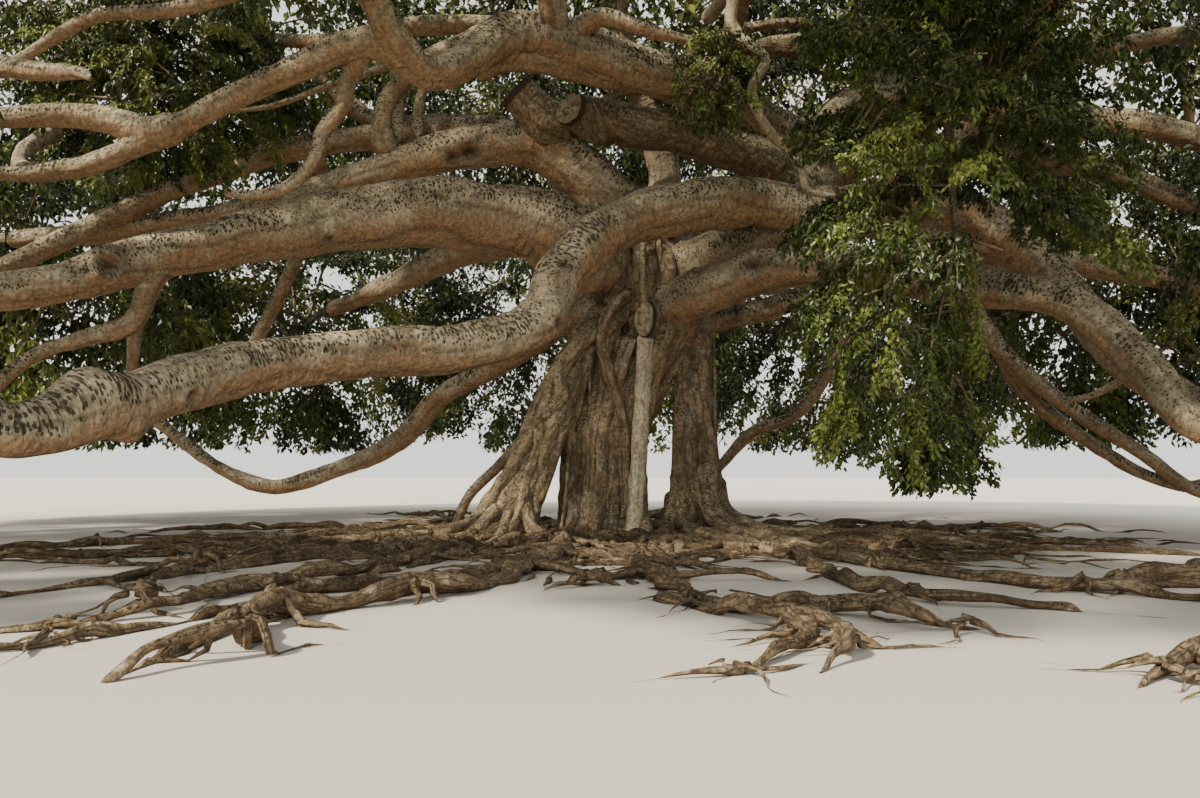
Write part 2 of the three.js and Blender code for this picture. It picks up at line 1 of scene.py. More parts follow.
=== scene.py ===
import math

import bpy
import mathutils
import numpy as np
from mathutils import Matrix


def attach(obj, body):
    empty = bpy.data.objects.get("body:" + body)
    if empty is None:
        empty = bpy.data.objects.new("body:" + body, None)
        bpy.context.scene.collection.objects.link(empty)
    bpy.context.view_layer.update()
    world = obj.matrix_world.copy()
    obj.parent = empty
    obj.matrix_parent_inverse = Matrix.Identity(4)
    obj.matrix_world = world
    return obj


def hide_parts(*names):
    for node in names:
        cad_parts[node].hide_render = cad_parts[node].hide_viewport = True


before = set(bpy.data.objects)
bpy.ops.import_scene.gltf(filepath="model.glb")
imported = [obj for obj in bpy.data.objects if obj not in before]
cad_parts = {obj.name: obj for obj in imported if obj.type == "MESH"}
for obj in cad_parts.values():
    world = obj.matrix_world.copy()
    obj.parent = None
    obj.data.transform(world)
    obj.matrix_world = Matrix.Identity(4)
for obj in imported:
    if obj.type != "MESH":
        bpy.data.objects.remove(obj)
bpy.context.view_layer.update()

# The camera stands under the crown, at the photograph's place
viewSet = {"place": (-0.1, -20.0, 1.26), "pitch": 4.175, "lens": 30.0, "sensor": 36.0}

camera = bpy.data.objects.new("photoCamera", bpy.data.cameras.new("photoCamera"))
camera.location = viewSet["place"]
camera.rotation_euler = (math.radians(90 + viewSet["pitch"]), 0, 0)
camera.data.lens = viewSet["lens"]
camera.data.sensor_width = viewSet["sensor"]
camera.data.clip_end = 400
bpy.context.collection.objects.link(camera)
bpy.context.scene.camera = camera

# Limbs, in metres, as in the part's source


def limb(base, tip, *path, **more):  # radius at the base and at the tip, and the places it runs through
    return dict(more, base=base, tip=tip, path=list(path))


trunkStems = [
    limb(0.66, 1.0, (0.12, 0.05, -0.3), (0.08, 0.03, 1.2), (0.12, 0.0, 2.2), (0.4, 0.1, 3.2),
         (0.72, 0.12, 4.2), (0.84, 0.15, 5.2), (0.9, 0.2, 6.1), collar=0.35),
    limb(0.34, 0.42, (-0.6, 0.1, -0.3), (-0.57, 0.05, 1.1), (-0.48, 0.05, 2.4), (-0.2, 0.1, 3.4),
         (0.3, 0.15, 4.6)),
    limb(0.36, 0.5, (0.35, 0.85, -0.3), (0.4, 0.7, 1.2), (0.5, 0.6, 2.6), (0.75, 0.5, 4.4)),
    limb(0.2, 0.62, (0.4, -0.1, 1.4), (0.56, -0.12, 2.3), (0.9, -0.15, 3.1), (1.3, -0.2, 4.0),
         (1.55, -0.2, 4.9)),
]
leftStems = [
    limb(0.34, 0.36, (0.12, -0.1, 4.5), (-0.25, -0.28, 4.0), (-0.75, -0.38, 3.2), (-1.2, -0.45, 2.3),
         (-1.62, -0.55, 1.3), (-1.95, -0.62, 0.6), (-2.2, -0.7, -0.3)),
    limb(0.24, 0.3, (-0.55, -0.5, 3.5), (-0.85, -0.7, 2.6), (-1.1, -0.72, 1.7), (-1.45, -0.75, 0.7),
         (-1.6, -0.9, -0.3)),
    limb(0.14, 0.16, (-1.3, -0.35, 2.1), (-1.9, -0.2, 1.2), (-2.4, -0.1, 0.5), (-2.8, 0.1, -0.25)),
]
rightStems = [
    limb(0.26, 0.34, (1.9, -0.15, 4.15), (1.84, -0.1, 3.1), (1.92, -0.1, 1.9), (2.03, -0.1, 0.9),
         (2.12, -0.15, -0.3)),
    limb(0.18, 0.27, (1.62, -0.2, 3.9), (1.6, -0.24, 2.6), (1.57, -0.3, 1.3), (1.52, -0.4, -0.3)),
    limb(0.2, 0.24, (1.95, 0.15, 3.0), (2.1, 0.35, 1.4), (2.3, 0.6, -0.25)),
]
aerialStem = limb(0.15, 0.16, (0.78, -0.9, 3.95), (0.71, -0.9, 2.7), (0.62, -0.9, 1.3), (0.5, -0.9, -0.3),
    collar=0.25)
sawnStump = limb(0.3, 0.2, (1.15, -0.25, 4.34), (0.98, -0.72, 4.2), (0.74, -1.14, 4.17), collar=0.2,
    oval=1.6)

boughs = {
    "bough_right_arching": limb(0.6, 0.2, (1.2, 0.1, 5.0), (2.8, -0.6, 5.65), (4.1, -1.1, 6.1),
        (5.8, -1.3, 6.35), (7.2, -1.6, 5.86), (8.25, -2.1, 4.6), (8.95, -2.9, 3.1), (9.6, -4.6, 2.2),
        (9.9, -6.6, 2.4), (9.8, -8.3, 3.4)),
    "bough_right_low": limb(0.46, 0.2, (1.0, -0.2, 4.35), (1.8, -1.0, 4.65), (2.65, -1.5, 4.95),
        (3.8, -2.0, 5.02), (5.2, -2.7, 4.62), (6.6, -3.4, 4.3), (7.5, -4.0, 3.95), (8.15, -4.6, 3.1),
        (8.7, -5.3, 1.95), (9.8, -5.9, 1.7), (11.3, -6.0, 2.8)),
    "bough_front_left": limb(0.5, 0.3, (4.4, -1.15, 6.14), (3.5, -1.5, 6.18), (2.5, -1.75, 6.25),
        (1.35, -2.05, 6.08), (0.1, -2.45, 5.57), (-0.76, -2.95, 4.7), (-1.2, -3.5, 3.75),
        (-2.2, -4.2, 3.25), (-3.42, -5.0, 3.07), (-4.5, -6.2, 2.78), (-5.3, -7.4, 2.4), (-5.75, -8.8, 1.95),
        (-6.3, -10.0, 1.7), (-7.7, -10.7, 2.7)),
    "bough_top_snaking": limb(0.54, 0.2, (2.9, -0.5, 5.75), (3.9, -0.1, 6.6), (4.4, 0.3, 7.45),
        (3.5, 0.1, 8.3), (1.9, -0.7, 8.82), (0.3, -1.4, 9.05), (-0.9, -2.0, 9.25), (-1.7, -2.5, 9.15),
        (-2.35, -3.0, 8.45), (-3.05, -3.5, 8.0), (-3.45, -4.0, 8.3), (-3.8, -4.5, 9.0), (-4.2, -5.0, 9.6)),
    "bough_sawn": limb(0.5, 0.4, (4.0, 0.0, 6.8), (3.2, -0.1, 7.55), (1.9, -0.35, 7.95), (0.5, -0.55, 8.15),
        (-0.6, -0.7, 8.32), collar=0.1),
    "bough_right_high": limb(0.44, 0.2, (4.3, 0.3, 7.3), (5.3, 0.6, 7.75), (6.3, 0.9, 8.0),
        (7.8, 1.0, 8.15), (9.5, 0.8, 7.9), (10.7, 0.4, 7.4), (12.0, -0.1, 6.6)),
    "bough_right_rear": limb(0.38, 0.18, (4.9, -1.15, 6.2), (5.9, 0.0, 6.4), (7.0, 1.0, 6.3),
        (8.6, 1.9, 6.0), (10.2, 3.3, 5.7), (11.4, 5.2, 5.7)),
    "bough_right_inner": limb(0.27, 0.2, (1.3, 0.4, 4.3), (2.3, 1.0, 4.5), (3.4, 1.4, 4.75),
        (5.0, 2.0, 5.3), (6.2, 2.4, 5.3)),
    "bough_right_drooping": limb(0.2, 0.12, (5.8, 2.3, 5.3), (5.65, 2.6, 4.6), (5.3, 2.9, 3.85),
        (4.9, 3.1, 3.15), (4.4, 3.3, 2.55), (3.5, 3.6, 2.2), (2.7, 4.1, 1.3), (1.9, 4.6, 0.5)),
    "bough_right_sagging": limb(0.2, 0.11, (7.0, 1.0, 6.3), (7.7, 1.15, 5.0), (8.55, 1.2, 3.7),
        (9.3, 1.4, 2.75), (10.5, 1.5, 1.85), (11.6, 1.3, 1.15), (12.6, 1.1, 1.0), (13.4, 1.3, 1.9)),
    "bough_left_broad": limb(0.9, 0.24, (0.5, 0.1, 5.3), (-0.6, -0.3, 5.75), (-1.6, -0.6, 6.15),
        (-3.0, -1.0, 6.23), (-4.45, -1.4, 6.07), (-6.0, -2.0, 5.63), (-7.5, -2.8, 5.1), (-9.2, -3.8, 4.3),
        (-10.9, -4.8, 3.9)),
    "bough_left_kneed": limb(0.6, 0.18, (0.9, 0.25, 5.9), (0.2, 0.05, 6.7), (-0.6, -0.1, 7.4),
        (-1.45, -0.2, 7.85), (-2.8, -0.45, 7.7), (-4.1, -0.65, 7.23), (-5.4, -0.8, 6.78), (-6.9, -0.7, 6.4),
        (-9.4, -0.3, 6.1), (-12.0, -0.2, 5.9)),
    "bough_left_forked": limb(0.24, 0.13, (-3.2, -3.65, 8.1), (-3.9, -3.95, 8.3), (-5.3, -3.9, 7.83),
        (-6.4, -3.8, 7.36), (-7.45, -3.7, 6.85), (-8.6, -3.7, 6.35), (-9.7, -3.5, 6.3), (-10.3, -2.7, 6.9),
        (-10.1, -1.9, 7.6)),
    "bough_left_hanging": limb(0.22, 0.1, (-7.6, -2.85, 5.05), (-7.9, -2.95, 4.4), (-8.15, -2.9, 3.85),
        (-8.9, -3.0, 3.55), (-9.7, -3.2, 3.2), (-10.3, -3.5, 2.5)),
    "bough_left_drooping": limb(0.3, 0.14, (0.2, 0.3, 4.75), (-0.7, 0.9, 4.5), (-1.5, 1.4, 4.1),
        (-2.55, 2.0, 3.5), (-3.7, 2.5, 2.95), (-4.7, 3.0, 2.0), (-6.2, 3.5, 1.35), (-8.0, 4.0, 0.92),
        (-9.5, 4.4, 1.45), (-11.5, 4.7, 2.9)),
    "bough_rear_right": limb(0.5, 0.2, (1.1, 0.3, 5.5), (2.0, 1.9, 6.4), (3.2, 4.0, 6.7), (4.6, 6.4, 6.2),
        (6.3, 9.4, 5.8)),
    "bough_rear": limb(0.52, 0.2, (0.8, 0.4, 5.2), (0.7, 2.2, 6.1), (0.2, 4.6, 6.6), (-0.4, 7.4, 6.2),
        (-0.7, 11.6, 5.7)),
    "bough_rear_left": limb(0.5, 0.2, (0.5, 0.3, 5.5), (-1.2, 1.6, 6.3), (-3.2, 3.4, 6.5), (-5.6, 5.8, 6.1),
        (-7.9, 8.6, 5.9)),
    "bough_leader": limb(0.42, 0.24, (1.0, 0.3, 5.9), (1.3, 1.0, 7.6), (0.9, 1.3, 9.1), (0.5, 1.1, 10.5)),
    "bough_dome_right": limb(0.26, 0.15, (5.6, 0.75, 7.8), (6.0, 1.0, 8.7), (6.5, 0.6, 9.6)),
    "bough_dome_rear_right": limb(0.3, 0.15, (2.6, 3.0, 6.6), (3.2, 3.9, 8.0), (3.7, 4.4, 9.6)),
    "bough_dome_rear": limb(0.3, 0.15, (0.3, 4.2, 6.6), (-0.8, 5.2, 8.0), (-1.7, 5.7, 9.6)),
    "bough_dome_left": limb(0.3, 0.15, (-1.5, -0.15, 7.9), (-3.1, 0.3, 8.4), (-4.9, 0.7, 8.7),
        (-6.0, 1.0, 9.6)),
    "bough_dome_front": limb(0.22, 0.14, (2.2, -0.6, 8.75), (2.5, -2.0, 9.9), (2.6, -3.8, 10.3),
        (2.5, -5.2, 10.3)),
    "bough_arch_left": limb(0.26, 0.15, (-0.9, -2.0, 9.3), (-1.3, -3.6, 10.6), (-1.9, -6.6, 10.7),
        (-2.6, -9.4, 10.0), (-3.2, -11.9, 9.2)),
    "bough_arch_right": limb(0.34, 0.15, (5.8, -1.3, 6.35), (6.9, -2.4, 8.0), (7.5, -4.4, 9.4),
        (7.0, -7.2, 10.0), (5.4, -9.8, 9.6), (4.2, -11.9, 9.1)),
    "bough_curtain": limb(0.24, 0.13, (5.2, -1.25, 6.3), (5.5, -2.4, 7.0), (5.4, -3.9, 7.1)),
    "bough_tufted": limb(0.22, 0.1, (-0.8, -1.95, 9.25), (-0.1, -2.1, 9.62), (0.85, -2.0, 9.4),
        (1.7, -2.0, 9.2)),
}

groundSink = 0.02
surfaceRoots = {
    "root_front_left": limb(0.24, 0.07, (-0.4, -0.2), (-0.7, -2.6), (-0.8, -5.2), (-1.7, -8.6),
        (-2.9, -11.2), (-3.1, -13.8)),
    "root_left_near": limb(0.24, 0.06, (-2.0, -0.8), (-2.9, -2.6), (-4.3, -5.2), (-5.2, -7.4), (-6.3, -9.4)),
    "root_right_near": limb(0.26, 0.06, (1.7, -0.4), (2.2, -2.4), (3.0, -4.6), (3.9, -7.2), (5.3, -9.6)),
    "root_right_far": limb(0.26, 0.06, (2.1, -0.1), (3.4, -1.6), (5.0, -2.9), (7.2, -3.6), (9.6, -5.2)),
}
for root in surfaceRoots.values():
    root["collar"] = 0.5
    root["path"] = [(x, y, -groundSink) for x, y in root["path"]]

# Masses of leaves, as in the part's source
massKinds = {
    "rim": {"distance": 15.2, "height": 5.6, "size": (3.8, 4.3, 3.7)},
    "arch": {"distance": 15.2, "height": 8.4, "size": (3.7, 4.4, 2.6)},
    "dome": {"distance": 8.9, "height": 10.8, "size": (4.9, 5.2, 2.7)},
}


def ringMass(kind, name, heading, bough):
    given = massKinds[kind]
    angle = math.radians(heading)
    centre = (given["distance"] * math.cos(angle), given["distance"] * math.sin(angle), given["height"])
    return {
        "name": "leaves_" + kind + "_" + name, "heading": heading, "bough": "bough_" + bough,
        "centre": centre, "size": given["size"],
    }


masses = [
    ringMass("rim", "right", -1, "right_high"),
    ringMass("rim", "right_rear", 27, "right_rear"),
    ringMass("rim", "rear_right", 59, "rear_right"),
    ringMass("rim", "rear", 93, "rear"),
    ringMass("rim", "rear_left", 130, "rear_left"),
    ringMass("rim", "left_rear", 158, "left_drooping"),
    ringMass("rim", "left", 181, "left_kneed"),
    ringMass("rim", "left_front", 204, "left_broad"),
    ringMass("rim", "front_left", 230, "front_left"),
    ringMass("arch", "left", 257, "arch_left"),
    ringMass("arch", "right", 285, "arch_right"),
    ringMass("rim", "front_right", 311, "right_arching"),
    ringMass("rim", "right_front", 335, "right_low"),
    ringMass("dome", "right", -10, "dome_right"),
    ringMass("dome", "rear_right", 50, "dome_rear_right"),
    ringMass("dome", "rear", 110, "dome_rear"),
    ringMass("dome", "left", 170, "dome_left"),
    ringMass("dome", "front_left", 230, "top_snaking"),
    ringMass("dome", "front", 290, "dome_front"),
    {"name": "leaves_dome_top", "heading": 0, "bough": "bough_leader",
     "centre": (0.3, 0.6, 12.7), "size": (5.4, 5.4, 2.4)},
    {"name": "leaves_inner_left", "heading": 180, "bough": "bough_left_forked",
     "centre": (-8.7, -0.9, 8.6), "size": (2.5, 2.1, 1.8)},
    {"name": "leaves_curtain", "heading": 287, "bough": "bough_curtain",
     "centre": (5.1, -5.6, 4.8), "size": (1.9, 2.4, 3.9)},
    {"name": "leaves_tuft", "heading": 0, "bough": "bough_tufted",
     "centre": (2.1, -2.3, 8.3), "size": (0.9, 0.8, 0.95)},
]

# Further limbs that the photograph shows and the main ones carry
smallLimbs = [
    limb(0.26, 0.09, (-7.0, -3.75, 7.0), (-7.52, -3.7, 6.9), (-8.39, -3.8, 7.11), (-9.11, -4.0, 7.09),
         (-10.13, -4.2, 6.97), (-11.4, -4.3, 7.2), (-12.6, -4.8, 7.3), (-13.6, -5.6, 6.8)),
    limb(0.3, 0.17, (-1.3, -0.25, 7.7), (-2.1, 0.0, 8.15), (-3.2, 0.2, 8.35), (-5.1, 0.4, 8.21),
         (-6.9, 0.2, 7.78), (-8.78, -0.4, 6.83), (-10.23, -0.8, 5.92), (-11.52, -1.2, 5.13),
         (-12.9, -1.6, 4.7)),
    limb(0.34, 0.1, (5.3, 0.9, 8.0), (6.69, 2.0, 10.55), (8.74, 2.3, 11.25), (10.5, 2.4, 11.03),
         (12.12, 2.4, 11.15), (13.2, 2.6, 10.75), (13.9, 3.2, 9.8), (14.0, 4.0, 8.8)),
    limb(0.36, 0.22, (4.3, 0.5, 7.9), (5.5, 1.0, 9.25), (7.99, 0.5, 8.88), (9.41, 0.2, 8.41),
         (10.95, 0.0, 8.34), (12.04, -0.2, 7.96), (13.2, -0.4, 7.4), (14.4, -0.6, 6.4), (15.3, -0.6, 5.4)),
    limb(0.34, 0.2, (5.0, -0.6, 6.3), (6.14, 0.5, 6.28), (9.17, 0.8, 5.76), (11.59, 1.0, 5.41),
         (13.48, 1.0, 5.11), (14.6, 0.8, 5.5)),
    limb(0.15, 0.03, (-8.0, -2.95, 4.2), (-8.16, -2.8, 3.8), (-8.29, -2.6, 3.13), (-8.6, -2.3, 2.4),
         (-9.2, -2.0, 2.0)),
    limb(0.2, 0.1, (7.4, 1.1, 5.6), (8.0, 1.1, 4.4), (8.56, 1.0, 3.62), (9.8, 1.0, 2.6), (11.2, 1.0, 1.7),
         (12.45, 1.0, 0.84), (13.6, 0.8, 0.75), (14.5, 0.6, 1.4), (15.0, 0.2, 2.5)),
    limb(0.14, 0.09, (-1.1, -0.1, 2.9), (-1.51, 0.1, 2.1), (-2.14, 0.4, 1.4), (-2.77, 0.6, 0.79),
         (-3.2, 0.9, -0.1)),
    limb(0.08, 0.06, (0.7, -0.8, 6.4), (0.73, -0.95, 5.61), (0.74, -0.95, 4.75), (0.78, -0.9, 4.4)),
    limb(0.13, 0.1, (-4.0, -0.5, 7.2), (-4.15, -0.5, 7.9), (-4.12, -0.45, 8.6), (-4.3, -0.3, 9.6)),
    limb(0.12, 0.09, (-3.6, -0.5, 7.4), (-3.75, -0.45, 8.1), (-3.7, -0.4, 8.8), (-3.4, -0.1, 9.8)),
    limb(0.16, 0.06, (8.5, 1.2, 3.75), (8.9, 1.7, 3.2), (9.4, 2.0, 2.91), (10.0, 2.0, 2.82),
         (10.71, 2.0, 2.93), (11.8, 2.2, 3.5), (13.0, 2.6, 4.3)),
    limb(0.11, 0.03, (-10.1, -3.4, 2.7), (-10.6, -3.8, 2.35), (-11.3, -4.4, 2.6), (-12.1, -5.0, 3.5),
         (-12.8, -5.4, 4.6)),
    limb(0.12, 0.05, (2.2, 4.4, 0.8), (1.8, 4.7, 0.42), (1.0, 5.1, 0.2), (0.2, 5.3, 0.12),
         (-0.6, 5.2, 0.05)),
    limb(0.15, 0.08, (-8.8, -3.65, 6.35), (-9.7, -3.85, 6.15), (-11.2, -4.3, 6.25), (-12.6, -4.9, 6.6),
         (-13.6, -5.4, 6.2)),
    limb(0.17, 0.07, (-4.0, -3.9, 8.28), (-4.3, -3.7, 7.8), (-4.45, -3.6, 7.35), (-4.8, -3.5, 6.95),
         (-4.87, -3.5, 6.6), (-5.3, -3.4, 6.12), (-5.85, -3.4, 5.92), (-6.5, -3.3, 6.0)),
    limb(0.08, 0.03, (-3.4, -3.4, 8.3), (-3.9, -3.1, 8.25), (-4.9, -3.0, 7.95), (-5.9, -2.9, 7.65),
         (-7.1, -2.8, 7.55)),
    limb(0.13, 0.07, (-4.2, -5.0, 9.5), (-5.2, -5.1, 8.8), (-6.7, -5.0, 8.4), (-7.87, -5.0, 8.3),
         (-8.46, -5.0, 8.0), (-9.1, -5.0, 7.6), (-10.4, -5.2, 7.2), (-11.8, -5.6, 7.4)),
    limb(0.24, 0.22, (-2.45, -2.35, 8.5), (-1.9, -2.25, 8.78), (-1.2, -1.95, 8.86), (-0.4, -1.5, 8.8),
         (0.4, -1.2, 8.8)),
    limb(0.27, 0.12, (0.7, 1.1, 10.2), (-0.7, 0.1, 10.4), (-2.0, -0.7, 10.1), (-3.9, -1.0, 9.95),
         (-5.5, -0.8, 9.75), (-7.2, -0.4, 10.0)),
    limb(0.2, 0.14, (-4.3, -0.8, 7.4), (-4.3, -1.0, 8.3), (-3.6, -1.0, 9.2), (-2.6, -1.0, 9.75),
         (-1.9, -0.9, 10.2)),
    limb(0.2, 0.1, (6.9, -2.3, 8.0), (7.4, -2.9, 8.45), (8.5, -3.2, 8.5), (9.8, -3.3, 8.75),
         (11.4, -3.3, 8.5), (13.0, -3.2, 7.8)),
    limb(0.14, 0.09, (1.9, 0.6, 10.3), (2.9, 0.4, 10.55), (4.4, 0.4, 10.7), (5.6, 0.3, 10.5)),
    limb(0.12, 0.08, (-0.3, 0.4, 8.4), (-0.2, 0.8, 9.0), (0.4, 1.0, 9.4), (1.2, 1.0, 9.45), (1.9, 0.9, 9.2)),
    limb(0.26, 0.045, (-10.4, -5.2, 7.2), (-9.4, -5.8, 7.15), (-8.5, -6.3, 6.95), (-7.9, -6.5, 6.8),
         (-7.2, -6.7, 6.7), (-6.9, -7.0, 6.5)),
    limb(0.2, 0.08, (-6.0, 0.35, 7.9), (-6.2, 1.2, 7.0), (-6.55, 1.6, 6.4), (-7.1, 1.9, 5.4),
         (-7.65, 2.1, 4.4), (-8.2, 2.4, 3.6), (-9.2, 3.0, 3.1), (-10.6, 3.9, 3.0), (-11.6, 4.4, 3.4)),
]
paleLimbs = [
    limb(0.13, 0.075, (2.0, -0.8, 10.2), (2.36, -2.4, 10.0), (2.28, -2.4, 9.4), (2.58, -2.4, 8.97),
         (2.89, -2.4, 8.7), (2.66, -2.3, 8.18), (2.9, -2.2, 7.56), (3.57, -2.0, 6.88), (3.73, -1.9, 6.44),
         (4.3, -1.8, 6.34)),
]
# Strands that have grown over the trunk and the stilts, and the feet by which the stilts go over into roots
trunkStrands = [
    limb(0.13, 0.08, (0.55, -0.6, 4.75), (0.25, -0.9, 4.55), (-0.02, -0.98, 4.15), (-0.08, -0.95, 3.7),
         (0.1, -0.9, 3.05), (0.32, -0.82, 2.4), (0.42, -0.68, 1.6), (0.4, -0.6, 0.6), (0.3, -0.8, 0.0)),
    limb(0.24, 0.16, (1.25, -0.2, 4.4), (1.2, -0.7, 4.2), (1.14, -0.85, 3.9), (1.0, -0.75, 3.4),
         (0.78, -0.6, 2.6), (0.62, -0.5, 1.5), (0.66, -0.62, 0.5), (0.8, -1.0, 0.0)),
    limb(0.14, 0.1, (0.5, -0.7, 3.9), (0.3, -0.85, 3.3), (0.1, -0.72, 2.6), (-0.05, -0.68, 1.7),
         (-0.1, -0.72, 0.8), (-0.25, -1.0, 0.1), (-0.5, -1.7, 0.0)),
    limb(0.12, 0.12, (-0.2, -0.5, 3.9), (-0.46, -0.55, 3.0), (-0.62, -0.5, 2.4), (-0.73, -0.48, 2.1),
         (-0.66, -0.42, 1.6), (-0.66, -0.42, 0.8), (-0.66, -0.6, 0.15), (-0.8, -1.1, 0.0)),
]
stiltStrands = [
    limb(0.17, 0.1, (-0.1, -0.6, 4.1), (-0.66, -0.76, 3.5), (-0.87, -0.84, 3.1), (-0.84, -0.86, 2.7),
         (-1.0, -0.86, 2.45), (-1.32, -0.82, 2.1), (-1.64, -0.84, 1.55), (-1.95, -0.86, 1.05),
         (-2.3, -0.92, 0.5), (-2.95, -1.2, 0.12), (-3.9, -2.0, 0.0)),
    limb(0.12, 0.1, (-0.7, -0.62, 3.6), (-1.05, -0.78, 2.9), (-1.2, -0.86, 2.3), (-1.3, -0.92, 1.7),
         (-1.5, -0.98, 1.1), (-1.62, -1.08, 0.5), (-1.85, -1.5, 0.1), (-2.3, -2.6, 0.0)),
    limb(0.16, 0.08, (-1.55, -0.8, 1.2), (-1.5, -1.0, 0.6), (-1.35, -1.2, 0.2), (-0.95, -1.5, 0.06),
         (-0.3, -1.9, 0.0)),
    limb(0.2, 0.08, (-2.0, -0.7, 0.9), (-2.4, -0.75, 0.4), (-3.1, -0.9, 0.12), (-4.4, -1.5, 0.03),
         (-6.0, -2.6, 0.0)),
    limb(0.16, 0.06, (-1.9, -0.4, 0.8), (-2.2, 0.1, 0.3), (-2.9, 0.8, 0.08), (-4.2, 1.6, 0.0)),
    limb(0.14, 0.06, (-2.05, -0.85, 0.6), (-2.45, -1.5, 0.15), (-3.0, -2.6, 0.04), (-4.1, -4.4, 0.0)),
    limb(0.12, 0.05, (-1.8, -1.0, 0.5), (-1.9, -1.7, 0.12), (-2.0, -2.9, 0.03), (-2.8, -5.0, 0.0)),
]
footStrands = [
    limb(0.24, 0.14, (1.95, -0.3, 1.5), (2.0, -0.42, 0.8), (2.12, -0.62, 0.38), (2.4, -1.1, 0.14),
         (2.8, -2.4, 0.08), (3.2, -4.6, 0.03), (3.6, -6.6, 0.0)),
    limb(0.2, 0.1, (1.46, -0.42, 1.3), (1.42, -0.5, 0.7), (1.5, -0.75, 0.28), (1.85, -1.5, 0.1),
         (2.3, -3.0, 0.05), (2.7, -5.2, 0.0)),
    limb(0.22, 0.1, (2.15, 0.0, 1.2), (2.35, -0.15, 0.5), (2.9, -0.6, 0.15), (3.9, -1.6, 0.08),
         (5.4, -2.5, 0.03), (7.4, -3.0, 0.0)),
    limb(0.16, 0.07, (1.35, -0.4, 0.9), (1.2, -0.75, 0.3), (1.05, -1.6, 0.08), (1.2, -3.4, 0.03),
         (1.0, -5.2, 0.0)),
    limb(0.16, 0.06, (2.2, 0.3, 0.8), (2.7, 0.6, 0.25), (3.8, 1.1, 0.06), (5.6, 1.3, 0.0)),
    limb(0.14, 0.06, (1.9, 0.3, 0.7), (1.9, 0.9, 0.2), (2.2, 2.0, 0.05), (2.9, 3.6, 0.0)),
]
# Larger roots that the photograph shows on the ground in front, as places on it with a height for each
nearRoots = [
    limb(0.098, 0.035, (-3.2, -1.6, 0.05), (-3.91, -2.9, 0.06), (-4.41, -5.2, 0.05), (-5.25, -7.2, 0.1),
         (-5.9, -9.0, 0.0), (-6.6, -10.6, 0.05), (-7.6, -11.8, 0.0)),
    limb(0.105, 0.042, (-2.4, -3.2, 0.02), (-2.7, -5.4, 0.06), (-3.26, -7.9, 0.1), (-3.89, -9.35, 0.04),
         (-3.95, -10.8, 0.12), (-4.5, -11.8, 0.0), (-5.4, -12.5, 0.03)),
    limb(0.13, 0.05, (-0.6, -4.2, 0.0), (-0.95, -6.8, 0.1), (-1.38, -9.0, 0.03), (-1.9, -10.0, 0.14),
         (-2.5, -10.8, 0.05), (-2.85, -11.5, 0.2), (-2.75, -12.4, 0.1), (-2.6, -13.0, 0.24),
         (-2.85, -13.5, 0.12), (-3.1, -13.9, 0.0)),
    limb(0.091, 0.035, (-0.5, -3.0, 0.0), (-1.1, -5.6, 0.05), (-2.0, -7.9, 0.02), (-2.9, -9.2, 0.07),
         (-3.5, -11.0, 0.0), (-4.1, -12.6, 0.03), (-5.2, -13.4, 0.0)),
    limb(0.14, 0.049, (-3.6, -0.6, 0.02), (-5.2, -1.2, 0.08), (-6.8, -1.6, 0.03), (-8.75, -2.7, 0.08),
         (-10.4, -4.6, 0.0)),
    limb(0.119, 0.035, (3.2, -4.2, 0.04), (3.6, -6.6, 0.1), (4.2, -8.2, 0.02), (5.0, -9.3, 0.1),
         (6.0, -10.2, 0.03), (7.2, -11.0, 0.0)),
    limb(0.112, 0.035, (2.4, -3.0, 0.02), (2.65, -5.5, 0.06), (2.7, -8.4, 0.02), (3.0, -10.0, 0.09),
         (3.9, -10.7, 0.03), (4.8, -11.2, 0.0)),
    limb(0.14, 0.14, (8.6, -7.6, 0.0), (7.4, -8.3, 0.1), (6.3, -8.8, 0.12), (5.5, -9.2, 0.1),
         (5.3, -9.6, 0.02)),
    limb(0.119, 0.035, (5.6, -12.6, -0.1), (4.6, -13.1, 0.1), (3.8, -13.4, 0.12), (3.35, -13.75, 0.06),
         (3.05, -14.05, -0.02)),
    limb(0.07, 0.028, (3.7, -13.4, 0.12), (3.62, -13.9, 0.02), (3.55, -14.2, 0.0)),
    limb(0.077, 0.028, (0.2, -8.0, -0.1), (0.75, -10.6, 0.03), (1.25, -11.6, 0.14), (1.5, -12.0, 0.12),
         (1.95, -12.6, 0.03), (2.4, -12.8, 0.0)),
    limb(0.084, 0.021, (1.42, -12.1, 0.12), (1.37, -12.5, 0.04), (1.0, -13.2, 0.06), (0.76, -13.6, 0.0),
         (0.62, -13.9, 0.02)),
    limb(0.084, 0.063, (1.7, -12.5, -0.05), (1.62, -12.9, 0.12), (1.42, -13.3, 0.1), (1.2, -13.7, 0.0)),
    limb(0.105, 0.035, (0.3, -3.2, -0.05), (0.4, -6.0, 0.05), (0.5, -8.8, 0.1), (0.85, -10.1, 0.03),
         (1.3, -11.2, 0.1), (1.9, -12.0, 0.0)),
    limb(0.098, 0.035, (1.3, -9.2, -0.12), (2.1, -11.2, 0.13), (2.4, -11.9, 0.16), (2.8, -12.0, 0.05),
         (3.1, -11.9, 0.0)),
]
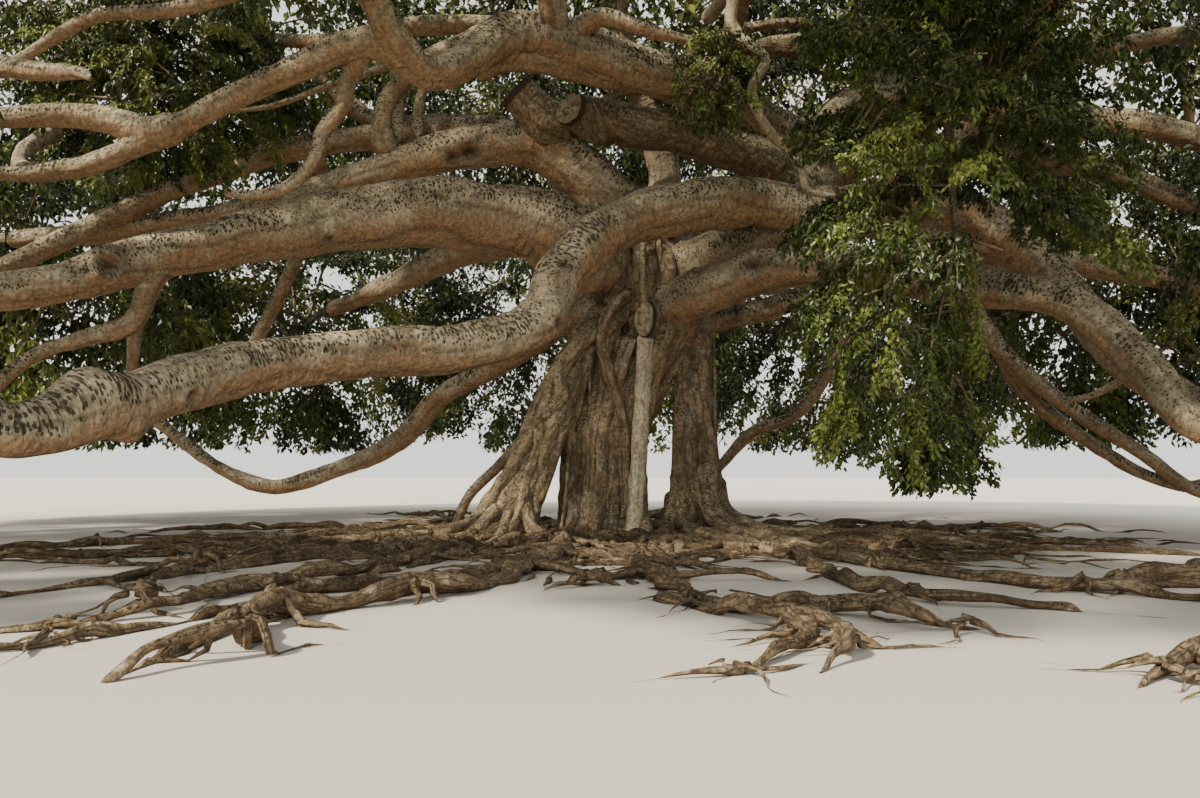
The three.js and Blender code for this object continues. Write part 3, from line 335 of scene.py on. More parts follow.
sawnLimbs = [
    limb(0.17, 0.15, (1.4, -0.9, 8.95), (1.7, -1.2, 9.3), (1.95, -1.4, 9.6)),
    limb(0.27, 0.24, (0.9, 1.25, 9.4), (2.2, 0.9, 9.9), (3.4, 0.6, 10.2), (4.6, 0.3, 10.15)),
    limb(0.4, 0.36, (-0.7, -0.6, 7.9), (-1.28, -0.75, 8.3), (-1.76, -0.9, 8.75)),
    limb(0.36, 0.28, (0.2, -0.5, 8.1), (-0.35, -0.85, 8.15), (-0.7, -1.3, 8.2)),
]

# Helpers


def unit(vectors):
    return vectors / np.maximum(np.linalg.norm(vectors, axis=-1, keepdims=True), 1e-9)


def curveAt(places, shares):
    pts = np.array(places, float)
    last = len(pts) - 1
    padded = np.vstack([2 * pts[0] - pts[1], pts, 2 * pts[-1] - pts[-2]])
    spot = np.clip(np.atleast_1d(shares), 0, 1) * last
    first = np.minimum(spot.astype(int), last - 1)
    part = (spot - first)[:, None]
    a, b, c, d = (padded[first + step] for step in range(4))
    ab, bc, cd = (np.sqrt(np.linalg.norm(q - p, axis=1))[:, None] for p, q in ((a, b), (b, c), (c, d)))
    leave = ((b - a) / ab - (c - a) / (ab + bc) + (c - b) / bc) * bc
    arrive = ((c - b) / bc - (d - b) / (bc + cd) + (d - c) / cd) * bc
    square = 3 * (c - b) - 2 * leave - arrive
    cube = 2 * (b - c) + leave + arrive
    return b + part * leave + part**2 * square + part**3 * cube


def limbRadius(limb, shares):
    collar = limb.get("collar", 0.15)
    return (limb["base"] + (limb["tip"] - limb["base"]) * shares) * (1 + collar * np.exp(-shares / 0.08))


def roughness(points, size, seed):  # smooth random numbers from -1 to 1, spaced by size
    spot = points / size
    cell = np.floor(spot).astype(np.int64)
    part = spot - cell
    part = part * part * (3 - 2 * part)
    total = np.zeros(points.shape[:-1])
    for corner in np.ndindex(2, 2, 2):
        key = (cell + corner) @ np.array([73856093, 19349663, 83492791]) + seed * 2654435761
        key = ((key ^ (key >> 13)) * 1274126177) & 0x7FFFFFFF
        value = ((key ^ (key >> 16)) & 0xFFFF) / 32767.5 - 1
        weight = np.prod(np.where(np.array(corner) == 1, part, 1 - part), axis=-1)
        total += value * weight
    return total


def addObject(name, data):
    piece = bpy.data.objects.new(name, data)
    bpy.context.collection.objects.link(piece)
    return piece


def pointMesh(name, points, fields, edges=()):  # a mesh of bare points with a named value for each
    mesh = bpy.data.meshes.new(name)
    mesh.vertices.add(len(points))
    mesh.vertices.foreach_set("co", np.asarray(points, np.float32).ravel())
    if len(edges):
        mesh.edges.add(len(edges))
        mesh.edges.foreach_set("vertices", np.asarray(edges, np.int32).ravel())
    for label, values in fields.items():
        isWhole = values.dtype.kind == "i"
        kind = "FLOAT_VECTOR" if values.ndim == 2 else "INT" if isWhole else "FLOAT"
        layer = mesh.attributes.new(label, kind, "POINT")
        flat = np.ascontiguousarray(values, np.int32 if isWhole else np.float32).ravel()
        layer.data.foreach_set("vector" if values.ndim == 2 else "value", flat)
    return mesh


def newMesh(name, points, quads, triangles, materials, fields):  # quads are smooth, triangles flat end faces
    mesh = pointMesh(name, points, fields)
    corners = np.concatenate([quads.ravel(), triangles.ravel()]).astype(np.int32)
    sizes = np.concatenate([np.full(len(quads), 4), np.full(len(triangles), 3)])
    isEnd = sizes == 3
    mesh.loops.add(len(corners))
    mesh.loops.foreach_set("vertex_index", corners)
    mesh.polygons.add(len(sizes))
    mesh.polygons.foreach_set("loop_start", (np.cumsum(sizes) - sizes).astype(np.int32))
    mesh.update(calc_edges=True)
    mesh.polygons.foreach_set("material_index", (isEnd * (len(materials) - 1)).astype(np.int32))
    mesh.polygons.foreach_set("use_smooth", ~isEnd)
    for material in materials:
        mesh.materials.append(material)
    return addObject(name, mesh)


def addNode(tree, kind, values, output=0, **settings):  # a socket among the values is linked
    node = tree.nodes.new(kind)
    for key, setting in settings.items():
        setattr(node, key, setting)
    for key, value in values.items():
        socket = node.inputs[key]
        if isinstance(value, bpy.types.NodeSocket):
            tree.links.new(value, socket)
        elif socket.type == "RGBA":
            socket.default_value = (*value, 1)
        else:
            socket.default_value = value
    return node.outputs[output]


def newMaterial(name, roughness, values={}):
    material = bpy.data.materials.new(name)
    material.use_nodes = True
    shader = material.node_tree.nodes["Principled BSDF"]
    shader.inputs["Roughness"].default_value = roughness
    for label, value in values.items():
        shader.inputs[label].default_value = value
    return material, material.node_tree, shader


# Bark. Grey and specked on top, painted warm bounce light underneath, painted shade in creases, fine
# wrinkles round the limb

barkLook = {
    # the warm colour paints bounce light from the ground on the undersides
    "pale": (0.6, 0.51, 0.35), "grey": (0.28, 0.235, 0.15), "bounceLight": (0.44, 0.25, 0.125),
    "speck": (0.035, 0.029, 0.019), "lichen": (0.62, 0.58, 0.44), "speckSize": 15.0, "specks": 0.66,
    "streaks": 0.85, "streakRun": (5.5, 5.5, 27.0), "cracks": 0.0, "crackRun": (7.0, 7.0, 3.0),
    # the darkest colour paints shade in creases and cracks, and the fine dark mottle
    "crease": (0.045, 0.03, 0.018), "mottle": 0.45, "speckRun": (0.8, 0.8, 1.25), "crackBend": 1.6,
    "wrinkleRun": (2.5, 2.5, 15.0), "bump": 0.9, "bumpHeight": 0.09, "roughness": 0.85,
}
trunkLook = dict(
    barkLook, pale=(0.52, 0.41, 0.255), grey=(0.24, 0.19, 0.115), bounceLight=(0.4, 0.25, 0.13),
    lichen=(0.44, 0.42, 0.32), speckSize=18.0, specks=0.55, streaks=0.4, cracks=0.5,
    crackRun=(4.5, 4.5, 1.0), mottle=0.5, wrinkleRun=(3.0, 3.0, 13.0), roughness=0.9,
)
roughLook = dict(
    barkLook, pale=(0.5, 0.41, 0.265), grey=(0.23, 0.19, 0.12), bounceLight=(0.28, 0.18, 0.1), specks=0.6,
    cracks=0.45, crackRun=(6.0, 6.0, 2.0), mottle=0.6,
)
rootLook = dict(
    barkLook, pale=(0.35, 0.26, 0.155), grey=(0.14, 0.1, 0.06), bounceLight=(0.17, 0.1, 0.05),
    lichen=(0.42, 0.35, 0.24), speckSize=14.0, specks=0.5, streaks=0.3, cracks=0.55,
    crackRun=(16.0, 16.0, 2.4), mottle=0.6, wrinkleRun=(10.0, 10.0, 2.5), bump=1.0, roughness=0.9,
)
poleLook = dict(
    barkLook, pale=(0.88, 0.77, 0.56), grey=(0.56, 0.46, 0.31), bounceLight=(0.4, 0.28, 0.16), specks=0.4,
    streaks=0.15, cracks=0.3, crackRun=(14.0, 14.0, 1.2), wrinkleRun=(8.0, 8.0, 1.0), bump=0.4,
)


def barkMaterial(name, look):
    material, tree, shader = newMaterial(name, look["roughness"], {"Specular IOR Level": 0.25})

    def noise(scale, detail, vector, distortion=0.0):
        values = {"Scale": scale, "Detail": detail, "Distortion": distortion, "Vector": vector}
        return addNode(tree, "ShaderNodeTexNoise", values, "Fac")

    def span(value, low, high, start=0.0, end=1.0):
        values = {"Value": value, "From Min": low, "From Max": high, "To Min": start, "To Max": end}
        return addNode(tree, "ShaderNodeMapRange", values, "Result")

    def math2(operation, a, b):
        return addNode(tree, "ShaderNodeMath", {0: a, 1: b}, operation=operation)

    def blend(share, a, b):
        return addNode(tree, "ShaderNodeMix", {"Factor": share, "A": a, "B": b}, "Result", data_type="RGBA")

    def attribute(label, output="Fac"):
        return addNode(tree, "ShaderNodeAttribute", {}, output, attribute_name=label)

    def alongLimb(sizes, bend=0.0):  # a place on the bark, with its own scale round the limb and along it
        values = {0: attribute("bark", "Vector"), 1: sizes}
        if bend:
            bent = {0: noise(4.0, 4, place), "Scale": bend}
            values[2] = addNode(tree, "ShaderNodeVectorMath", bent, operation="SCALE")
        return addNode(tree, "ShaderNodeVectorMath", values, operation="MULTIPLY_ADD")

    place = addNode(tree, "ShaderNodeTexCoord", {}, "Object")
    underside = attribute("underside")
    mottled = blend(span(noise(0.9, 4, place, 0.8), 0.36, 0.6), look["grey"], look["pale"])
    stained = blend(span(noise(4.5, 5, place, 0.5), 0.44, 0.68, 0, 0.75), mottled, look["grey"])
    dusted = blend(span(noise(3.1, 5, place, 0.3), 0.55, 0.68, 0, 0.7), stained, look["lichen"])
    patchy = math2("MULTIPLY", noise(1.7, 4, place, 0.5), 0.9)
    # painted warm bounce light from the ground on the undersides, in patches
    bounceLightShare = span(math2("ADD", underside, patchy), 0.92, 1.4, 0, 0.8)
    coloured = blend(bounceLightShare, dusted, look["bounceLight"])
    fine = span(noise(17.0, 3, place, 0.4), 0.38, 0.62, look["mottle"], 0)
    ground = blend(fine, coloured, look["crease"])
    grain = math2("MULTIPLY", noise(5.0, 6, place, 0.6), 1.5)

    if look["cracks"]:  # they run along the trunk and the roots
        values = {"Scale": 1.0, "Vector": alongLimb(look["crackRun"], look["crackBend"])}
        plates = addNode(tree, "ShaderNodeTexVoronoi", values, "Distance", feature="DISTANCE_TO_EDGE")
        # the cracks are cut into the bump and darkened with painted shade
        crack = span(plates, 0.015, 0.11, look["cracks"], 0)
        ground = blend(crack, ground, look["crease"])
        grain = math2("SUBTRACT", grain, math2("MULTIPLY", crack, 0.25))

    # lichen specks and short dark streaks, closer together where the slow noise is high
    values = {"Scale": look["speckSize"], "Vector": alongLimb(look["speckRun"])}
    cells = addNode(tree, "ShaderNodeTexVoronoi", values, "Distance")
    ragged = math2("ADD", cells, math2("MULTIPLY", noise(40.0, 2, place), 0.5))
    patches = span(noise(0.8, 3, place), 0.36, 0.6, 0.72, 1)
    topside = span(underside, 0.4, 0.85, 1, 0.3)
    limit = math2("ADD", math2("MULTIPLY", math2("MULTIPLY", patches, topside), look["specks"]), 0.04)
    speck = span(math2("SUBTRACT", limit, ragged), 0.0, 0.06, 0, 0.9)
    strands = noise(1.0, 3, alongLimb(look["streakRun"]), 0.4)
    streak = span(math2("MULTIPLY", strands, math2("MULTIPLY", patches, topside)), 0.52, 0.6)
    specked = blend(speck, ground, look["speck"])
    streaked = blend(math2("MULTIPLY", streak, look["streaks"]), specked, look["speck"])
    # painted shade in flute grooves, hollows and limb seams, and the dark rim round cuts
    finished = blend(attribute("crease"), streaked, look["crease"])
    tree.links.new(finished, shader.inputs["Base Color"])

    wrinkles = math2("MULTIPLY", noise(1.0, 3, alongLimb(look["wrinkleRun"]), 0.2), attribute("folding"))
    height = math2("ADD", wrinkles, grain)
    values = {"Strength": look["bump"], "Distance": look["bumpHeight"], "Height": height}
    tree.links.new(addNode(tree, "ShaderNodeBump", values), shader.inputs["Normal"])
    return material


def cutWoodMaterial(name, look):
    material, tree, shader = newMaterial(name, 0.9)
    place = addNode(tree, "ShaderNodeTexCoord", {}, "Object")
    values = {"Scale": look["grain"], "Detail": 5, "Distortion": 1.5, "Vector": place}
    streaks = addNode(tree, "ShaderNodeTexNoise", values, "Fac")
    ramp = tree.nodes.new("ShaderNodeValToRGB")
    for stop, position, colour in zip(ramp.color_ramp.elements, (0.35, 0.65), (look["dark"], look["pale"])):
        stop.position = position
        stop.color = (*colour, 1)
    tree.links.new(streaks, ramp.inputs["Fac"])
    tree.links.new(ramp.outputs["Color"], shader.inputs["Base Color"])
    values = {"Strength": 0.6, "Distance": 0.03, "Height": streaks}
    tree.links.new(addNode(tree, "ShaderNodeBump", values), shader.inputs["Normal"])
    return material


limbBark = barkMaterial("limbBark", barkLook)
trunkBark = barkMaterial("trunkBark", trunkLook)
roughBark = barkMaterial("roughBark", roughLook)
rootBark = barkMaterial("rootBark", rootLook)
poleBark = barkMaterial("poleBark", poleLook)
twigLook = {"grain": 6.0, "dark": (0.12, 0.085, 0.055), "pale": (0.3, 0.225, 0.14)}
cutLook = {"grain": 9.0, "dark": (0.08, 0.06, 0.04), "pale": (0.36, 0.29, 0.19)}
stumpLook = {"grain": 5.0, "dark": (0.1, 0.08, 0.05), "pale": (0.44, 0.36, 0.23)}
twigBark = cutWoodMaterial("twigBark", twigLook)
cutWood = cutWoodMaterial("cutWood", cutLook)
stumpWood = cutWoodMaterial("stumpWood", stumpLook)
print("materials ready")

# Wood. Each limb is swept along its path and then shaped

limbShape = {
    "grid": 0.055, "lump": 0.13, "lumpSize": 0.7, "ridge": 0.06, "fold": 0.07, "foldStep": 0.3,
    "grain": 0.016, "grainSize": 0.22, "meet": 0.6, "flute": 0.05, "flutes": 6, "leastSides": 7,
    "pathSteps": 40, "roundEnd": 0.7, "leastEnd": 0.02, "standsFrom": 0.3, "twist": 1.5, "twistSize": 1.7,
    "barkShift": 0.37, "rimDark": 0.9, "taper": 0.0, "sway": 0.0, "swaySize": 0.4, "swayRise": 0.45,
    "dive": 0.06, "diveLength": 0.5, "foldBend": 2.2, "foldWander": 0.9, "threefold": 0.6,
    "fluteWander": 1.6, "fluteDepth": (0.15, 0.6, 1.2), "fluteDark": 0.55, "markDark": 0.95,
}
trunkShape = dict(
    limbShape, grid=0.048, lump=0.1, flute=0.22, flutes=9, meet=0.4, grain=0.025, grainSize=0.19,
)
rearShape = dict(limbShape, grid=0.085)

# Scars, hollows and swellings on the limbs: place, size, rise of the rim and depth of the middle
marks = [
    ((-8.25, -3.64, 4.68), 0.24, 0.07, 0.08),
    ((1.53, -1.05, 5.03), 0.2, 0.05, 0.08),
    ((2.65, -1.93, 5.09), 0.26, 0.05, 0.2),
    ((2.3, -1.75, 4.8), 0.45, 0.0, -0.07),
    ((-2.65, -0.76, 7.46), 0.28, 0.03, 0.26),
    ((-2.98, -0.8, 7.4), 0.2, 0.0, 0.16),
    ((0.26, -0.55, 7.78), 0.2, 0.04, 0.28),
    ((0.3, -0.7, 4.05), 0.22, 0.04, 0.3),
    ((-0.8, -3.62, 3.72), 0.16, 0.04, 0.12),
    ((-5.1, -7.75, 2.15), 0.16, 0.06, 0.16),
    ((-5.8, -9.0, 2.28), 0.6, 0.0, -0.17),
    ((-5.54, -8.43, 1.72), 0.35, 0.0, -0.13),
    ((-5.4, -8.15, 1.72), 0.13, 0.03, 0.12),
    ((8.24, -2.55, 4.32), 0.09, 0.02, 0.06),
    ((8.43, -2.73, 3.72), 0.11, 0.02, 0.07),
    ((-5.04, -1.98, 5.49), 0.14, 0.03, 0.05),
    ((-3.2, 2.03, 3.29), 0.14, 0.03, 0.05),
]


def limbSurface(limb, shape, seed):
    fine = np.linspace(0, 1, shape["pathSteps"] * (len(limb["path"]) - 1) + 1)
    steps = np.linalg.norm(np.diff(curveAt(limb["path"], fine), axis=0), axis=1)
    travelled = np.concatenate([[0.0], np.cumsum(steps)])
    length = travelled[-1]
    along = np.linspace(0, length, max(8, round(length / shape["grid"])) + 1)
    shares = np.interp(along, travelled, fine)
    centre = curveAt(limb["path"], shares)
    if shape["sway"]:
        push = np.stack([roughness(centre, shape["swaySize"], seed + turn) for turn in (6, 7, 8)], axis=1)
        centre = centre + push * shape["sway"] * (1, 1, shape["swayRise"])
        dive = np.clip(1 - (length - along) / shape["diveLength"], 0, 1) ** 2
        centre[:, 2] -= shape["dive"] * dive  # the end goes into the ground
    way = unit(np.gradient(centre, along, axis=0))
    bend = np.gradient(way, along, axis=0)
    radius = limbRadius(limb, shares)
    roundEnd, leastEnd = shape["roundEnd"], shape["leastEnd"]
    if not limb.get("cut"):
        radius = radius * np.sqrt(np.clip((length - along) / (roundEnd * radius[-1]), leastEnd, 1))
    if limb["path"][0][2] > shape["standsFrom"]:
        radius = radius * np.sqrt(np.clip(along / (roundEnd * radius[0]), leastEnd, 1))
    if shape["taper"]:
        radius = radius * np.clip((length - along) / shape["taper"], 0.45, 1)
        sunk = np.minimum(centre[:, 2], 0) / radius
        radius = radius * np.sqrt(np.clip(1 - sunk**2, 0.0004, 1))
    side = np.empty_like(centre)
    first = np.cross((1, 0, 0) if abs(way[0][2]) > 0.9 else (0, 0, 1), way[0])
    for ring, tangent in enumerate(way):
        first = first - tangent * first.dot(tangent)
        first = first / np.linalg.norm(first)
        side[ring] = first
    other = np.cross(way, side)
    sides = max(shape["leastSides"], round(2 * math.pi * radius.mean() / shape["grid"]))
    angle = np.linspace(0, 2 * math.pi, sides, endpoint=False)
    away = side[:, None] * np.cos(angle)[:, None] + other[:, None] * np.sin(angle)[:, None]
    away[..., 2] *= limb.get("oval", 1)
    points = centre[:, None] + away * radius[:, None, None]

    bark = np.empty_like(points)
    bark[..., 0] = radius[:, None] * np.cos(angle)
    bark[..., 1] = radius[:, None] * np.sin(angle)
    bark[..., 2] = along[:, None] + shape["barkShift"] * seed
    reach = radius[:, None]
    twist = shape["twist"] * roughness(centre, shape["twistSize"], seed + 1)[:, None]
    offset = shape["lump"] * reach * roughness(points, shape["lumpSize"], seed)
    ridges = np.sin(2 * angle + 2 * twist) + shape["threefold"] * np.sin(3 * angle - 3 * twist + seed)
    offset += shape["ridge"] * reach * ridges
    offset += shape["grain"] * roughness(points, shape["grainSize"], seed + 2)
    inner = (away * bend[:, None]).sum(-1) * reach  # positive on the inside of a bend
    folding = np.clip(inner * shape["foldBend"], 0, 1)
    folds = along[:, None] / shape["foldStep"] + shape["foldWander"] * roughness(points, 0.6, seed + 3)
    offset += shape["fold"] * folding * np.sin(2 * math.pi * folds) * reach
    groove = np.zeros_like(offset)
    if shape["flute"]:
        turn = angle * shape["flutes"] / 2 + shape["fluteWander"] * roughness(points, 0.9, seed + 4) + twist
        groove = 1 - np.abs(np.sin(turn))
        least, middle, most = shape["fluteDepth"]
        depth = np.clip(middle + roughness(points, 1.5, seed + 5), least, most)
        offset -= shape["flute"] * reach * groove**2 * depth
    # painted shade in the deepest part of each flute
    crease = shape["fluteDark"] * np.clip(groove * 2.2 - 1.3, 0, 1)
    for place, size, rise, depth in marks:
        gap = np.linalg.norm(points - place, axis=-1) / size
        if gap.min() < 2:
            offset += rise * np.exp(-6 * (gap - 1) ** 2) - depth * np.exp(-3 * gap**2)
            # the dark of sunken scars, with painted shade in the hollows
            crease = np.maximum(crease, shape["markDark"] * np.exp(-2.5 * gap**2) * (depth > 0))
    if limb.get("cut"):  # a dark rim round the cut
        crease[-3:] = np.maximum(crease[-3:], shape["rimDark"])
    folding = 0.35 + 0.65 * np.clip(np.abs(inner) * 2.5, 0, 1)
    return {
        "shape": shape, "points": points, "away": away, "offset": offset, "crease": crease, "centre": centre,
        "radius": radius, "folding": folding, "bark": bark,
    }


joint = {"swell": 0.3, "inside": 0.6, "seamShade": 0.5, "seamWidth": 0.22}


def blendJoints(surfaces):  # limbs swell towards the limbs they leave, as grown wood does
    boxes = [(s["points"].min((0, 1)), s["points"].max((0, 1))) for s in surfaces]
    for index, surface in enumerate(surfaces):
        points = surface["points"].reshape(-1, 3)
        push = np.zeros(len(points))
        crease = np.zeros(len(points))
        for other, (low, high) in enumerate(boxes):
            if other == index:
                continue
            rival = surfaces[other]
            width = rival["shape"]["meet"] * min(surface["radius"].mean(), rival["radius"].mean())
            near = np.flatnonzero(((points > low - width) & (points < high + width)).all(1))
            if len(near) == 0:
                continue
            thin = max(1, int(0.5 * rival["radius"].mean() / rival["shape"]["grid"]))
            spots, sizes = rival["centre"][::thin], rival["radius"][::thin]
            gap = (np.linalg.norm(points[near][:, None] - spots[None], axis=2) - sizes).min(1)
            rise = np.clip(1 - gap / width, 0, 1) ** 2 * np.clip(1 + gap / (joint["inside"] * width), 0, 1)
            push[near] = np.maximum(push[near], joint["swell"] * width * rise)
            # painted shade along the seam where two limbs meet
            seam = np.clip(1 - np.abs(gap) / (joint["seamWidth"] * width), 0, 1)
            crease[near] = np.maximum(crease[near], joint["seamShade"] * seam)
        surface["offset"] = surface["offset"] + push.reshape(surface["offset"].shape)
        surface["crease"] = np.maximum(surface["crease"], crease.reshape(surface["crease"].shape))


def woodPiece(name, surfaces, materials):
    points, quads, triangles, start = [], [], [], 0
    fields = {"underside": [], "crease": [], "folding": [], "bark": []}
    for surface in surfaces:
        grid = surface["points"] + surface["away"] * surface["offset"][..., None]
        least = np.minimum(0.01, 0.3 * surface["radius"])[:, None]  # what lies on the ground is flat below
        grid[..., 2] = np.maximum(grid[..., 2], least * np.clip(surface["away"][..., 2], 0, 1))
        rings, sides = grid.shape[:2]
        across = np.roll(grid, -1, axis=1) - np.roll(grid, 1, axis=1)
        normal = unit(np.cross(across, np.gradient(grid, axis=0)))
        ends = np.array([grid[0].mean(0), grid[-1].mean(0)])
        points += [grid.reshape(-1, 3), ends]
        number = start + np.arange(rings * sides).reshape(rings, sides)
        after = np.roll(number, -1, axis=1)
        quads.append(np.stack([number[:-1], after[:-1], after[1:], number[1:]], axis=-1).reshape(-1, 4))
        first, last = start + rings * sides, start + rings * sides + 1
        triangles.append(np.stack([np.full(sides, first), after[0], number[0]], axis=-1))
        triangles.append(np.stack([np.full(sides, last), number[-1], after[-1]], axis=-1))
        start += rings * sides + 2
        # how far each point faces down: the bark paints warm bounce light there and sets fewer specks
        surface["underside"] = np.clip(0.5 - 0.75 * normal[..., 2], 0, 1)
        for label, values in fields.items():
            flat = surface[label].reshape(rings * sides, *surface[label].shape[2:])
            values += [flat, flat[:1], flat[-1:]]
    fields = {label: np.concatenate(values) for label, values in fields.items()}
    return newMesh(
        name, np.concatenate(points), np.concatenate(quads), np.concatenate(triangles), materials, fields,
    )


def runningStrand(stem, angle, reach, width, seed):  # a root that runs down a stem and out over the ground
    random = np.random.default_rng(seed)
    shares = np.linspace(0.75 + 0.2 * random.random(), 0.02, 7)
    centre = curveAt(stem["path"], shares)
    radius = limbRadius(stem, shares)
    turns = angle + np.cumsum(random.normal(0, 0.16, len(shares)))
    sideways = np.stack([np.cos(turns), np.sin(turns), np.zeros(len(shares))], axis=1)
    path = [p for p in centre + sideways * (radius * 0.9)[:, None] if p[2] > 0.35]
    foot = np.array([path[-1][0], path[-1][1], 0.0])
    way = np.array([math.cos(turns[-1]), math.sin(turns[-1]), 0.0])
    path += [foot + way * 0.22 + (0, 0, 0.12), foot + way * (0.3 + 0.4 * reach), foot + way * (0.3 + reach)]
    return limb(width, 0.35 * width, *path)


def footToes():
    toes = []
    for heading, reach in ((62, 3.4), (100, 3.9), (138, 3.2), (255, 2.0)):
        angle = math.radians(heading)
        stops = ((0.1, 0.9), (0.32 * reach, 0.16), (0.65 * reach, 0.03), (reach, -0.05))
        path = [(0.1 + d * math.cos(angle), 0.35 + d * math.sin(angle), z) for d, z in stops]
        toes.append(limb(0.3, 0.08, *path))
    return toes


strandSet = {
    "count": 22, "leftCount": 7, "rightCount": 4, "least": 0.045, "most": 0.1, "reach": 1.6, "seed": 31,
}


def strandsOn(stems, count, seed):
    random = np.random.default_rng(strandSet["seed"] + seed)
    strands = []
    for index in range(count):
        stem = stems[index % len(stems)]
        angle = 2 * math.pi * (index * 0.618 + 0.15 * random.random())
        width = random.uniform(strandSet["least"], strandSet["most"])
        strands.append(runningStrand(stem, angle, strandSet["reach"] * random.random(), width, seed + index))
    return strands


thinShape = dict(limbShape, grid=0.075, fold=0.0, grain=0.006)
strandShape = dict(
    limbShape, grid=0.05, lump=0.25, lumpSize=0.35, ridge=0.12, fold=0.0, grain=0.018, flute=0.12, flutes=4,
    meet=0.2,
)
surfaces = {}


def addWood(piece, limbs, shape):
    for limb in limbs:
        seed = 1 + 11 * sum(len(group) for group in surfaces.values())
        surfaces.setdefault(piece, []).append(limbSurface(limb, shape, seed))


addWood("trunk", trunkStems + footToes(), trunkShape)
addWood("trunk", trunkStrands, strandShape)
addWood("trunk", strandsOn(trunkStems[:3], strandSet["count"], 100), thinShape)
addWood("stilt_root_left", leftStems, dict(trunkShape, flutes=5))
addWood("stilt_root_left", stiltStrands, strandShape)
addWood("stilt_root_left", strandsOn(leftStems[:2], strandSet["leftCount"], 200), thinShape)
addWood("stilt_root_right", rightStems, dict(trunkShape, flute=0.08, flutes=5))
addWood("stilt_root_right", footStrands, strandShape)
addWood("stilt_root_right", strandsOn(rightStems[:2], strandSet["rightCount"], 300), thinShape)
addWood("aerial_root", [aerialStem], dict(limbShape, lump=0.05, ridge=0.03))
for name, limbs in (("sawn_stump", [sawnStump]), ("sawn_ends", sawnLimbs)):
    addWood(name, [dict(limb, cut=True) for limb in limbs], dict(limbShape, lump=0.16, flute=0.1))
for name, bough in boughs.items():
    isFar = "rear" in name or "dome" in name or "arch_" in name
    addWood(name, [dict(bough, cut=name == "bough_sawn")], rearShape if isFar else limbShape)
addWood("small_limbs", smallLimbs, thinShape)
addWood("pale_limb", paleLimbs, thinShape)
blendJoints([surface for group in surfaces.values() for surface in group])
print("limbs shaped")

# Roots over the ground

rootSet = {
    "count": 195, "least": 0.025, "most": 0.13, "near": 3.0, "far": 13.0, "wander": 0.33, "step": 0.45,
    "front": 0.55, "forks": 2, "forkReach": (1.0, 3.4), "forkWidth": (0.35, 0.6), "knuckle": 0.5,
    "rootlets": 4, "rootletReach": (0.2, 0.75), "rootletWidth": (0.35, 0.65), "thinnest": 0.022, "seed": 5,
}
rootShape = dict(
    limbShape, grid=0.16, lump=0.45, lumpSize=0.3, ridge=0.2, fold=0.0, flute=0.0, grain=0.01, leastSides=5,
    taper=0.8, sway=0.1,
)


def groundPath(random, start, heading, reach, width):
    x, y = start[:2]
    spots = [start]
    for _ in range(max(3, round(reach / rootSet["step"]))):
        heading += random.normal(0, rootSet["wander"])
        x += rootSet["step"] * math.cos(heading)
        y += rootSet["step"] * math.sin(heading)
        spots.append((x, y, width * random.uniform(-0.6, 1.1)))
    spots[-1] = (x, y, -0.5 * width)
    return spots


def strayRoots():
    random = np.random.default_rng(rootSet["seed"])
    roots = []
    for index in range(rootSet["count"]):
        turn = 2 * math.pi * (index * 0.618034 % 1)
        if random.random() < rootSet["front"] and math.sin(turn) > 0:
            turn = -turn
        heading = turn + random.normal(0, 0.15)
        away = random.uniform(0.6, 1.3)
        width = rootSet["least"] + (rootSet["most"] - rootSet["least"]) * random.random() ** 1.6
        reach = random.uniform(rootSet["near"], rootSet["far"]) * (0.55 + 0.45 * width / rootSet["most"])
        start = (0.1 + 2.3 * away * math.cos(turn), 0.1 + 1.2 * away * math.sin(turn), 0.0)
        path = groundPath(random, start, heading, reach, width)
        roots.append(limb(width, 0.2 * width, *path))
        for _ in range(rootSet["forks"]):
            at = random.integers(1, len(path) - 2)
            bent = heading + random.choice([-1, 1]) * random.uniform(0.4, 0.9)
            thin = width * random.uniform(*rootSet["forkWidth"])
            branch = groundPath(random, path[at], bent, random.uniform(*rootSet["forkReach"]), thin)
            roots.append(limb(thin, 0.25 * thin, *branch))
        if random.random() < rootSet["knuckle"]:
            roots += knuckle(random, path[random.integers(2, len(path) - 1)], width)
    for root in nearRoots:
        for spot in root["path"][1:-1:2]:
            roots += knuckle(random, spot, 0.6 * root["base"])
    return roots


def knuckle(random, spot, width):  # a raised lump from which thin roots come down to the ground
    x, y, top = spot[0], spot[1], max(spot[2], 0) + 0.7 * width
    turn = random.uniform(0, 2 * math.pi)
    rootlets = []
    for _ in range(rootSet["rootlets"]):
        turn += 2 * math.pi / rootSet["rootlets"] + random.normal(0, 0.4)
        way = np.array([math.cos(turn), math.sin(turn)])
        reach = random.uniform(*rootSet["rootletReach"])
        thin = max(rootSet["thinnest"], width * random.uniform(*rootSet["rootletWidth"]))
        side = np.array([-way[1], way[0]])
        stops = (
            (0, top), (0.06 + width, 0.8 * top), (0.14 + width, 0.03), (0.5 * reach + 0.2, 0.01),
            (reach + 0.25, -1.2 * thin),
        )
        sway = np.cumsum([0, 0, *random.normal(0, 0.12, 3)])
        spots = [np.array([x, y]) + way * away + side * bend for (away, _), bend in zip(stops, sway)]
        path = [(*spot, height) for spot, (_, height) in zip(spots, stops)]
        rootlets.append(limb(thin, 0.5 * thin, *path))
    return rootlets


for name, root in surfaceRoots.items():
    addWood(name, [root], dict(rootShape, grid=0.06, sway=0.0))
addWood("near_roots", nearRoots, dict(rootShape, grid=0.06, leastSides=9, sway=0.13))
for index, root in enumerate(strayRoots()):
    addWood("small_roots_" + str(index % 2), [root], rootShape)
print("roots shaped")

